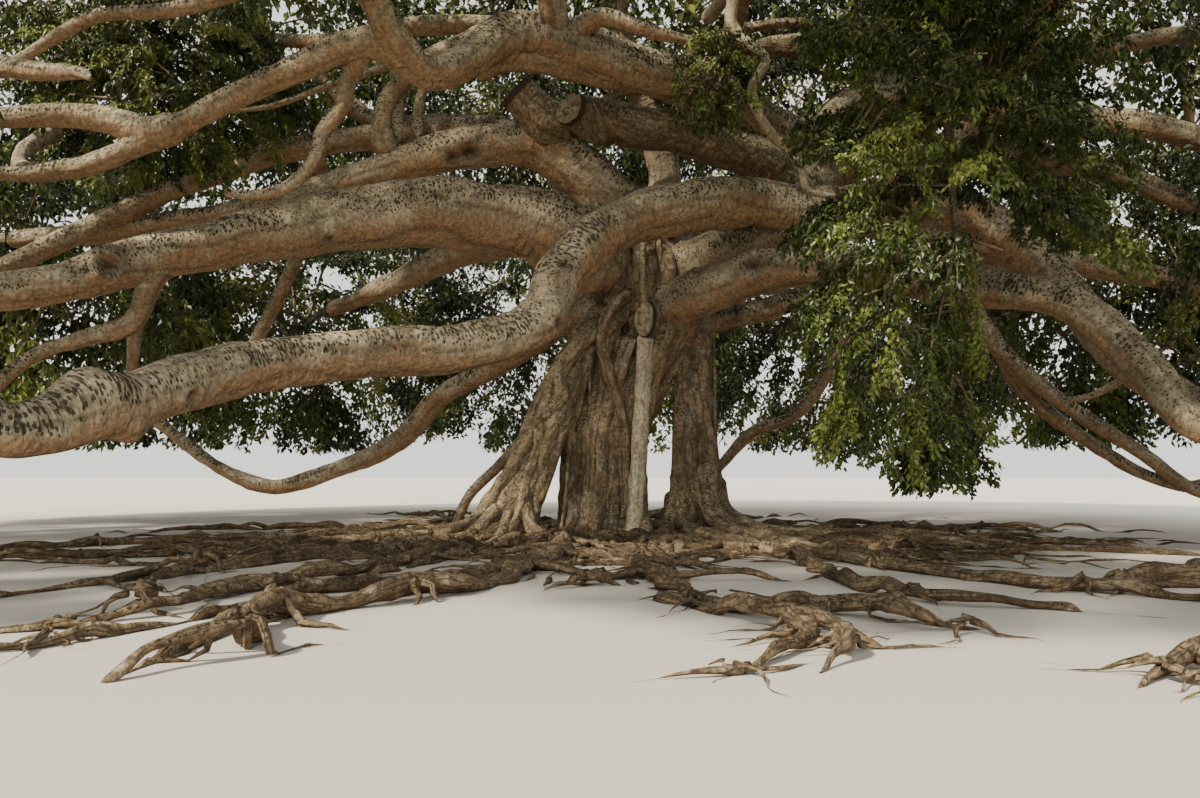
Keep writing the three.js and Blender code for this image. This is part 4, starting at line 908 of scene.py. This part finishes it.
woodLook = {
    "trunk": trunkBark, "stilt_root_left": trunkBark, "stilt_root_right": trunkBark,
    "sawn_stump": trunkBark, "aerial_root": poleBark, "pale_limb": poleBark, "bough_sawn": roughBark,
    "sawn_ends": roughBark,
}
woodCount = 0
for name, group in surfaces.items():
    look = woodLook.get(name, rootBark if "root" in name else limbBark)
    materials = [look, stumpWood if name == "sawn_stump" else cutWood] if "sawn" in name else [look]
    piece = woodPiece("wood_" + name, group, materials)
    woodCount += sum(len(face.vertices) - 2 for face in piece.data.polygons)
    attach(piece, "root")
    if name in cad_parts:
        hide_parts(name)
print("wood pieces", len(surfaces), "triangles", woodCount)

# Leaves. Each mass grows by the source's rule: a stem from its bough's tip, arms from the stem, side twigs
# from the arms, and a drooping spray on each, here with its own side shoots and leaves

growth = {
    "tries": 420, "sprays": 125, "longSprays": 30, "arms": 4, "heightStep": 0.6180339887,
    "headingStep": 0.569840291, "droop": (0.35, 0.85), "length": 0.8, "shortLength": 0.42, "width": 0.9,
    "fullReach": 0.98, "leastReach": 0.5, "reachStep": 0.06, "boxiness": 3.8, "frontBoxiness": 2.0,
    "spread": 1.35, "swell": (1.06, 1.14, 1.08), "lift": 1.14, "armTwig": 0.3, "sideTwig": 0.2,
    "clearance": 0.04, "overlap": 0.45, "firstSeed": 101, "ceiling": 14.95, "stemBend": 0.2,
    "armFrom": 0.7, "armStep": 0.09, "armLeast": 0.25, "sprayLeast": 0.05, "nearBark": 1.5,
}
shoots = {
    "step": 0.48, "angle": 55, "angleJitter": 30, "least": 0.35, "lift": 0.15, "tilt": 0.5, "droop": 1.1,
    "reach": 1.02, "thick": 0.01, "spineTip": 0.006, "straight": 0.15, "lengthRange": (0.7, 1.3),
    "droopRange": (0.5, 1.5), "bendAt": 0.5, "hungPart": 0.6,
}
leafSet = {
    "count": 12300, "length": 0.25, "lengthRange": (0.75, 1.15), "slim": 0.52, "fold": 0.35, "hang": 0.7,
    "hangRange": (0.3, 1.7), "forward": 0.45, "spread": 0.75, "jitter": 0.4, "faceUp": 0.7, "faceOut": 0.6,
    "scatter": 0.12, "tipReach": 1.04, "clearance": 0.01, "mixed": 0.4, "roll": 0.35, "rollSeed": 4,
    "seed": 17,
}
# The masses that the photograph looks at have more and smaller leaves
farMass = {"count": 34500, "length": 0.22, "sprays": 180, "step": 0.46, "scatter": 0.14}
seenMass = {"count": 25500, "length": 0.205, "sprays": 145, "scatter": 0.14}
ownLeaves = {
    "leaves_curtain": {"count": 66000, "length": 0.105, "sprays": 190, "step": 0.2, "scatter": 0.04},
    "leaves_inner_left": {"count": 32000, "length": 0.115, "sprays": 150, "step": 0.22, "scatter": 0.04},
    "leaves_tuft": {"count": 6000, "length": 0.09, "sprays": 50, "step": 0.14, "scatter": 0.03},
    "leaves_dome_right": dict(seenMass, count=28000), "leaves_rim_right": dict(seenMass, count=22000),
    **{"leaves_dome_" + side: seenMass for side in ("left", "rear", "rear_right")},
    **{"leaves_rim_" + side: farMass for side in ("right_rear", "rear_right", "rear")},
    **{"leaves_rim_" + side: farMass for side in ("rear_left", "left_rear")},
}
leafColours = {  # base colour, and the share of the sprays that have it
    "leafDeep": ((0.024, 0.036, 0.008), 0.17), "leafDark": ((0.046, 0.066, 0.014), 0.28),
    "leafMid": ((0.088, 0.12, 0.022), 0.32), "leafLight": ((0.158, 0.2, 0.036), 0.18),
    # the brightest tint paints sunlight on the sprays that take it
    "leafPaintedSunlight": ((0.25, 0.29, 0.062), 0.05),
}
# Windows in the leaves in front, where the photograph shows a limb behind them: slope of the way there
# from the camera, to the right and upwards, and half the window's size
openings = [((0.483, 0.119), (0.082, 0.093)), ((0.437, 0.187), (0.056, 0.036))]
openingDepth = -3.0
leafGroups = {
    "right": ["rim_right", "rim_right_rear", "dome_right", "tuft"],
    "rear_right": ["rim_rear_right", "rim_rear", "dome_rear_right"],
    "rear_left": ["rim_rear_left", "rim_left_rear", "dome_rear"],
    "left": ["rim_left", "dome_left", "inner_left"],
    "front_left": ["rim_left_front", "rim_front_left", "dome_front_left", "arch_left"],
    "arch": ["arch_right", "dome_front", "dome_top"],
    "front_right": ["rim_front_right", "rim_right_front", "curtain"],
}
upward = np.array([0.0, 0.0, 1.0])


def seeded(state):
    while True:
        state = (state * 1664525 + 1013904223) % 4294967296
        yield state / 4294967296


def axesOf(mass):
    angle = math.radians(mass["heading"])
    out = np.array([math.cos(angle), math.sin(angle), 0.0])
    return np.stack([out, np.cross(upward, out), upward])


def isInFront(mass):
    return "front" in mass["name"] or "arch" in mass["name"]


def fullSize(mass):  # masses of the rim and the dome spread until they meet
    size = np.array(mass["size"])
    if "rim" in mass["name"] and not isInFront(mass):
        size = size * (1, growth["spread"], 1)
    if "dome" in mass["name"] and not isInFront(mass) and "top" not in mass["name"]:
        size = size * growth["swell"]
    return size


def inOpening(points):
    away = points - np.array(viewSet["place"])
    slopes = away[..., [0, 2]] / np.maximum(away[..., 1:2], 0.5)
    within = [np.linalg.norm((slopes - middle) / reach, axis=-1) < 1 for middle, reach in openings]
    return np.any(within, axis=0) & (points[..., 1] < openingDepth)


def ellipsoidShare(mass, points):
    boxiness = growth["frontBoxiness" if isInFront(mass) else "boxiness"]
    offset = (points - mass["centre"]) @ axesOf(mass).T / fullSize(mass)
    if "rim" in mass["name"] and not isInFront(mass):
        offset[..., 2] = np.where(offset[..., 2] > 0, offset[..., 2] / growth["lift"], offset[..., 2])
    return (np.abs(offset) ** boxiness).sum(-1) ** (1 / boxiness)


def cellOf(mass):  # planes that part a mass from its neighbours: their directions and distances
    directions, borders = [], []
    for other in masses:
        if other is mass:
            continue
        across = np.subtract(other["centre"], mass["centre"])
        apart = np.linalg.norm(across)
        across = across / apart
        own, rival = (1 / np.linalg.norm(axesOf(m) @ across / fullSize(m)) for m in (mass, other))
        directions.append(across)
        borders.append(apart * own / (own + rival) + growth["overlap"])
    return np.array(directions), np.array(borders)


def inOwnSpace(mass, cell, points):
    inside = ellipsoidShare(mass, points) < 1
    return inside & ((points - mass["centre"]) @ cell[0].T < cell[1]).all(1)


barkSpots = [
    np.column_stack([curveAt(limb["path"], np.linspace(0, 1, 60)), limbRadius(limb, np.linspace(0, 1, 60))])
    for limb in [*trunkStems, *leftStems, *rightStems, *boughs.values(), *smallLimbs, *paleLimbs]
]
barkSpots = np.concatenate(barkSpots)


def clearOfBark(points, spots, clearance):
    if len(spots) == 0:
        return np.ones(len(points), bool)
    return ((np.linalg.norm(points[:, None] - spots[None, :, :3], axis=2) - spots[:, 3]).min(1)) > clearance


def nearestOn(spot, lines, least):  # the nearest place on some straight twigs, away from their ends
    starts, ends = (np.array(side) for side in zip(*lines))
    reach = ends - starts
    share = np.clip(((spot - starts) * reach).sum(1) / (reach * reach).sum(1), least, 0.9)
    feet = starts + reach * share[:, None]
    return feet[np.linalg.norm(feet - spot, axis=1).argmin()]


def growSprays(mass, seed, wanted):
    random = seeded(seed)
    path = boughs[mass["bough"]]["path"]
    tipRadius = boughs[mass["bough"]]["tip"]
    centre = np.array(mass["centre"])
    out, side, _ = axesOf(mass)
    ends = curveAt(path, [0.9999, 1.0])
    heading = unit(ends[1] - ends[0])
    start = ends[1] + 0.0004 * heading
    stem = [start, start + heading * growth["stemBend"] * np.linalg.norm(centre - start), centre]
    isNear = np.linalg.norm(barkSpots[:, :3] - centre, axis=1) < max(mass["size"]) + growth["nearBark"]
    spots = barkSpots[isNear]
    cell = cellOf(mass)
    firstTurn = next(random)
    arms, sprays = [], []
    for site in range(growth["tries"]):
        if len(sprays) == wanted:
            break
        height = 1 - 2 * ((0.5 + site * growth["heightStep"]) % 1)
        turn = 2 * math.pi * ((firstTurn + site * growth["headingStep"]) % 1)
        level = math.sqrt(1 - height * height)
        least, most = growth["droop"]
        droop = least + (most - least) * next(random)
        share = 0.85 + 0.15 * next(random)
        size = fullSize(mass)
        toSkin = size[0] * level * math.cos(turn) * out + size[1] * level * math.sin(turn) * side
        toSkin = toSkin + (0, 0, size[2] * height)
        toSkin = toSkin / ellipsoidShare(mass, centre + toSkin)
        along = unit(unit(toSkin) - (0, 0, droop))
        across = unit(np.cross(along, upward))
        for reach in np.arange(growth["fullReach"], growth["leastReach"] - 0.001, -growth["reachStep"]):
            tip = centre + toSkin * reach
            isShort = len(sprays) >= growth["longSprays"]
            length = growth["shortLength" if isShort else "length"] * sum(mass["size"]) / 3 * share * reach
            root = tip - along * length
            if len(arms) < growth["arms"]:
                foot = curveAt(stem, growth["armFrom"] + growth["armStep"] * len(arms))[0]
            elif isShort:
                longest = sprays[: growth["longSprays"]]
                foot = nearestOn(root, [(one["root"], one["tip"]) for one in longest], growth["sprayLeast"])
            else:
                foot = nearestOn(root, [(arm["foot"], arm["root"]) for arm in arms], growth["armLeast"])
            middle = root + 0.5 * length * along
            half = 0.5 * growth["width"] * length * across
            corners = np.array([foot, root, middle + half, middle - half, middle, tip])
            if not inOwnSpace(mass, cell, corners).all():
                continue
            if not clearOfBark(corners, spots, growth["clearance"]).all():
                continue
            isArm = len(arms) < growth["arms"]
            thick = tipRadius * (growth["armTwig"] if isArm else growth["sideTwig"])
            sprays.append({
                "foot": foot, "root": root, "tip": tip, "along": along, "across": across, "thick": thick,
                "length": length,
            })
            if isArm:
                arms.append(sprays[-1])
            break
    return stem, tipRadius, sprays, spots


def shootsOf(spray, step, random):  # start, bend and end of side shoots that leave sideways and then hang
    along, across, length = spray["along"], spray["across"], spray["length"]
    count = max(4, round(length / step))
    stops = (np.arange(count) + random.uniform(0.1, 0.9, count)) / count
    sideways = np.where(np.arange(count) % 2 == 0, 1.0, -1.0)[:, None]
    angle = np.radians(shoots["angle"] + random.uniform(-1, 1, count) * shoots["angleJitter"])[:, None]
    half = 0.5 * growth["width"] * length * np.where(stops < 0.5, stops / 0.5, (1 - stops) / 0.5)
    reach = (np.maximum(half, shoots["least"]) * random.uniform(*shoots["lengthRange"], count))[:, None]
    way = along * np.cos(angle) + across * sideways * np.sin(angle)
    way = unit(way + upward * random.normal(shoots["lift"], shoots["tilt"], count)[:, None])
    start = spray["root"] + along * (stops * length)[:, None]
    bend = start + way * reach * shoots["bendAt"]
    hung = unit(way - upward * shoots["droop"] * random.uniform(*shoots["droopRange"], (count, 1)))
    return start, bend, bend + hung * reach * shoots["hungPart"]


def growTwigs(mass, own, sprays, random):  # twigs of each spray, and the stretches that carry its leaves
    lines, starts, ends, tints = [], [], [], []
    shares = [share for _, share in leafColours.values()]
    for spray in sprays:
        foot, root, tip = spray["foot"], spray["root"], spray["tip"]
        spine = np.array([foot, root, root + 0.5 * spray["along"] * spray["length"], tip])
        if inOpening(spine).any():
            continue
        tint = random.choice(len(leafColours), p=shares)
        thick = spray["thick"]
        lines.append((spine, np.array([thick, 0.7 * thick, 0.4 * thick, shoots["spineTip"]])))
        start, bend, end = shootsOf(spray, own.get("step", shoots["step"]), random)
        kept = ~inOpening(end) & ~inOpening(bend) & (end[:, 2] < growth["ceiling"])
        kept &= ellipsoidShare(mass, end) < shoots["reach"]
        start, bend, end = start[kept], bend[kept], end[kept]
        for trio in zip(start, bend, end):
            stops = slice(None) if own["length"] < shoots["straight"] else slice(None, None, 2)
            lines.append((np.array(trio)[stops], shoots["thick"] * np.array([1.0, 0.7, 0.3])[stops]))
        starts += [start, bend, root[None], foot[None] * 0.4 + root[None] * 0.6]
        ends += [bend, end, tip[None], root[None]]
        tints.append(np.full(2 * len(start) + 2, tint))
    return lines, np.concatenate(starts), np.concatenate(ends), np.concatenate(tints)


def growLeaves(mass, seed):
    own = dict(leafSet, **ownLeaves.get(mass["name"], {}))
    random = np.random.default_rng(leafSet["seed"] + seed)
    stem, tipRadius, sprays, spots = growSprays(mass, seed, own.get("sprays", growth["sprays"]))
    lines, starts, ends, tints = growTwigs(mass, own, sprays, random)
    shares = np.linspace(0, 1, 7)
    lines.insert(0, (curveAt(stem, shares), tipRadius * (0.85 - 0.4 * shares)))

    count = own["count"]
    reach = np.linalg.norm(ends - starts, axis=1)
    total = np.concatenate([[0], np.cumsum(reach)])
    spot = (np.arange(count) + random.uniform(0, 0.9, count)) / count * total[-1]
    twig = np.clip(np.searchsorted(total, spot, side="right") - 1, 0, len(reach) - 1)
    share = (spot - total[twig]) / reach[twig]
    base = starts[twig] + (ends - starts)[twig] * share[:, None]
    base = base + random.normal(0, own["scatter"], (count, 3))
    way = unit(ends - starts)[twig]
    sideways = unit(np.cross(way, upward)) * np.where(np.arange(count) % 2 == 0, 1.0, -1.0)[:, None]
    hang = upward * own["hang"] * random.uniform(*own["hangRange"], (count, 1))
    way = way * own["forward"] + sideways * own["spread"] - hang
    way = unit(way + random.normal(0, own["jitter"], way.shape))
    outward = unit(base - np.array(mass["centre"]))
    face = upward * own["faceUp"] + outward * own["faceOut"]
    face = unit(face + random.normal(0, own["jitter"], way.shape))
    face = unit(face - way * (face * way).sum(1, keepdims=True))
    length = own["length"] * random.uniform(*own["lengthRange"], count)
    tips = base + way * length[:, None]
    kept = (ellipsoidShare(mass, tips) < own["tipReach"]) & (ellipsoidShare(mass, base) < 1.0)
    kept &= clearOfBark(tips, spots, own["clearance"])
    kept &= ~inOpening(tips) & (tips[:, 2] < growth["ceiling"])
    # some leaves of each spray take the next colour, so a spray isn't one flat patch
    isMixed = random.random(count) < own["mixed"]
    nextTint = np.clip(tints[twig] + random.choice([-1, 1], count), 0, len(leafColours) - 1)
    tint = np.where(isMixed, nextTint, tints[twig])
    leaf = {"base": base, "way": way, "face": face, "length": length, "tint": tint}
    return {"lines": lines, **{label: values[kept] for label, values in leaf.items()}}


def newTree(name, inputs):
    tree = bpy.data.node_groups.new(name, "GeometryNodeTree")
    sockets = [("Geometry", "INPUT", "Geometry"), ("Geometry", "OUTPUT", "Geometry")]
    sockets += [(label, "INPUT", kind) for label, kind in inputs]
    for label, way, kind in sockets:
        tree.interface.new_socket(label, in_out=way, socket_type="NodeSocket" + kind)
    return tree, tree.nodes.new("NodeGroupInput").outputs


def namedAttribute(tree, label, kind):
    return addNode(tree, "GeometryNodeInputNamedAttribute", {"Name": label}, "Attribute", data_type=kind)


def finishTree(tree, geometry, materials):  # realized, with the material that each tint asks for
    last = addNode(tree, "GeometryNodeRealizeInstances", {"Geometry": geometry})
    for index, material in enumerate(materials):
        values = {"Geometry": last, "Material": material}
        if len(materials) > 1:
            tints = {2: namedAttribute(tree, "tint", "INT"), 3: index}
            values["Selection"] = addNode(
                tree, "FunctionNodeCompare", tints, "Result", data_type="INT", operation="EQUAL",
            )
        last = addNode(tree, "GeometryNodeSetMaterial", values)
    tree.links.new(last, tree.nodes.new("NodeGroupOutput").inputs["Geometry"])
    return tree


def leafTree(materials):
    tree, given = newTree("leafTree", [("Leaf", "Object"), ("Size", "Float"), ("Roll", "Float")])
    leaf = addNode(tree, "GeometryNodeObjectInfo", {"Object": given["Leaf"]}, "Geometry")
    low = addNode(tree, "ShaderNodeMath", {0: given["Roll"], 1: -1}, operation="MULTIPLY")
    values = {"Seed": leafSet["rollSeed"], "Min": low, "Max": given["Roll"]}
    roll = addNode(tree, "FunctionNodeRandomValue", values, "Value", data_type="FLOAT_VECTOR")
    face = namedAttribute(tree, "face", "FLOAT_VECTOR")
    facing = addNode(tree, "ShaderNodeVectorMath", {0: face, 1: roll})
    way = {"Primary Axis": namedAttribute(tree, "way", "FLOAT_VECTOR"), "Secondary Axis": facing}
    turn = addNode(tree, "FunctionNodeAxesToRotation", way, primary_axis="X", secondary_axis="Z")
    values = {0: namedAttribute(tree, "length", "FLOAT"), 1: given["Size"]}
    size = addNode(tree, "ShaderNodeMath", values, operation="MULTIPLY")
    values = {"Points": given["Geometry"], "Instance": leaf, "Rotation": turn, "Scale": size}
    instances = addNode(tree, "GeometryNodeInstanceOnPoints", values, "Instances")
    return finishTree(tree, instances, materials)


def twigTree(material):
    tree, given = newTree("twigTree", [("Sides", "Int"), ("Thickness", "Float")])
    lines = addNode(tree, "GeometryNodeMeshToCurve", {"Mesh": given["Geometry"]}, "Curve")
    values = {"Resolution": given["Sides"], "Radius": given["Thickness"]}
    ring = addNode(tree, "GeometryNodeCurvePrimitiveCircle", values, "Curve")
    values = {"Curve": lines, "Profile Curve": ring, "Scale": namedAttribute(tree, "thick", "FLOAT")}
    tube = addNode(tree, "GeometryNodeCurveToMesh", values, "Mesh")
    return finishTree(tree, tube, [material])


def grown(name, mesh, tree, values):  # runs the tree once and keeps its result as a plain mesh
    carrier = addObject(name + "_carrier", mesh)
    modifier = carrier.modifiers.new("growth", "NODES")
    modifier.node_group = tree
    for item in tree.interface.items_tree:
        if item.in_out == "INPUT" and item.name in values:
            modifier[item.identifier] = values[item.name]
    ready = carrier.evaluated_get(bpy.context.evaluated_depsgraph_get())
    result = bpy.data.meshes.new_from_object(ready)
    bpy.data.objects.remove(carrier)
    for label in ("way", "face", "length", "tint", "thick"):
        if label in result.attributes:
            result.attributes.remove(result.attributes[label])
    result.name = name
    return addObject(name, result)


def leafMaterial(name, colour):
    return newMaterial(name, 0.38, {"Specular IOR Level": 0.45, "Base Color": (*colour, 1)})[0]


def leafShape(slim, fold):  # one leaf a metre long: two faces that meet in a fold along the middle
    mesh = bpy.data.meshes.new("leafShape")
    rise = fold * slim / 2
    spots = [(0, 0, 0), (0.4, -slim / 2, rise), (1, 0, -0.06), (0.4, slim / 2, rise)]
    mesh.from_pydata(spots, [], [(0, 1, 2), (0, 2, 3)])
    return bpy.data.objects.new("leafShape", mesh)


leafMaterials = [leafMaterial(name, colour) for name, (colour, _) in leafColours.items()]
oneLeaf = leafShape(leafSet["slim"], leafSet["fold"])
leaves = leafTree(leafMaterials)
twigs = twigTree(twigBark)
seeds = {mass["name"]: growth["firstSeed"] + index for index, mass in enumerate(masses)}
byName = {mass["name"]: mass for mass in masses}
twigLines = {"left": [], "right": []}
leafCount = 0
for group, names in leafGroups.items():
    members = ["leaves_" + name for name in names]
    grownMasses = [growLeaves(byName[name], seeds[name]) for name in members]
    base = np.concatenate([one["base"] for one in grownMasses])
    labels = ("way", "face", "length", "tint")
    fields = {label: np.concatenate([one[label] for one in grownMasses]) for label in labels}
    carrier = pointMesh("points_" + group, base, fields)
    inputs = {"Leaf": oneLeaf, "Size": 1.0, "Roll": leafSet["roll"]}
    piece = grown("leaves_on_" + group, carrier, leaves, inputs)
    leafCount += len(piece.data.polygons)
    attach(piece, "root")
    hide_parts(*members)
    half = "left" if "left" in group else "right"
    twigLines[half] += [line for one in grownMasses for line in one["lines"]]
    print("leaves", group, len(piece.data.polygons))

for half, lines in twigLines.items():
    points = np.concatenate([line for line, _ in lines])
    thick = np.concatenate([width for _, width in lines])
    lengths = np.array([len(line) for line, _ in lines])
    first = np.arange(len(points))
    linked = np.ones(len(points), bool)
    linked[np.cumsum(lengths) - 1] = False
    edges = np.stack([first[linked], first[linked] + 1], axis=1)
    carrier = pointMesh("lines_" + half, points, {"thick": thick}, edges)
    piece = grown("twigs_" + half, carrier, twigs, {"Sides": 3, "Thickness": 1.0})
    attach(piece, "root")
    print("twigs", half, sum(len(face.vertices) - 2 for face in piece.data.polygons))
print("leaf triangles", leafCount)

# A plain pale floor and soft light

stageSet = {
    "floor": (0.62, 0.59, 0.53), "size": 400.0, "floorDrop": 0.006,
    "sky": (0.98, 0.97, 0.94), "skyStrength": 1.35,
}

floorMesh = bpy.data.meshes.new("floor")
half, low = stageSet["size"] / 2, -stageSet["floorDrop"]
corners = [(-half, -half, low), (half, -half, low), (half, half, low), (-half, half, low)]
floorMesh.from_pydata(corners, [], [(0, 1, 2, 3)])
floorMesh.materials.append(newMaterial("floorPaint", 0.95, {"Base Color": (*stageSet["floor"], 1)})[0])
floor = addObject("floor", floorMesh)

world = bpy.data.worlds.new("paleSky")
world.use_nodes = True
sky = world.node_tree.nodes["Background"].inputs
sky["Color"].default_value = (*stageSet["sky"], 1)
sky["Strength"].default_value = stageSet["skyStrength"]
bpy.context.scene.world = world

lights = [
    {"name": "key", "place": (-19, -17, 25), "power": 6.5, "spread": 4, "tint": (1.0, 0.9, 0.72)},
    {"name": "fill", "place": (6, -30, 7), "power": 0.9, "spread": 50, "tint": (1.0, 0.96, 0.9)},
    {"name": "rear", "place": (20, 26, 16), "power": 1.2, "spread": 30, "tint": (1.0, 0.95, 0.85)},
]


def addLight(given):
    data = bpy.data.lights.new(given["name"], "SUN")
    data.energy = given["power"]
    data.color = given["tint"]
    data.angle = math.radians(given["spread"])
    light = addObject(given["name"], data)
    light.location = given["place"]
    aim = mathutils.Vector((0, 0, 3)) - light.location
    light.rotation_euler = aim.to_track_quat("-Z", "Y").to_euler()


for given in lights:
    addLight(given)
print("stage ready")
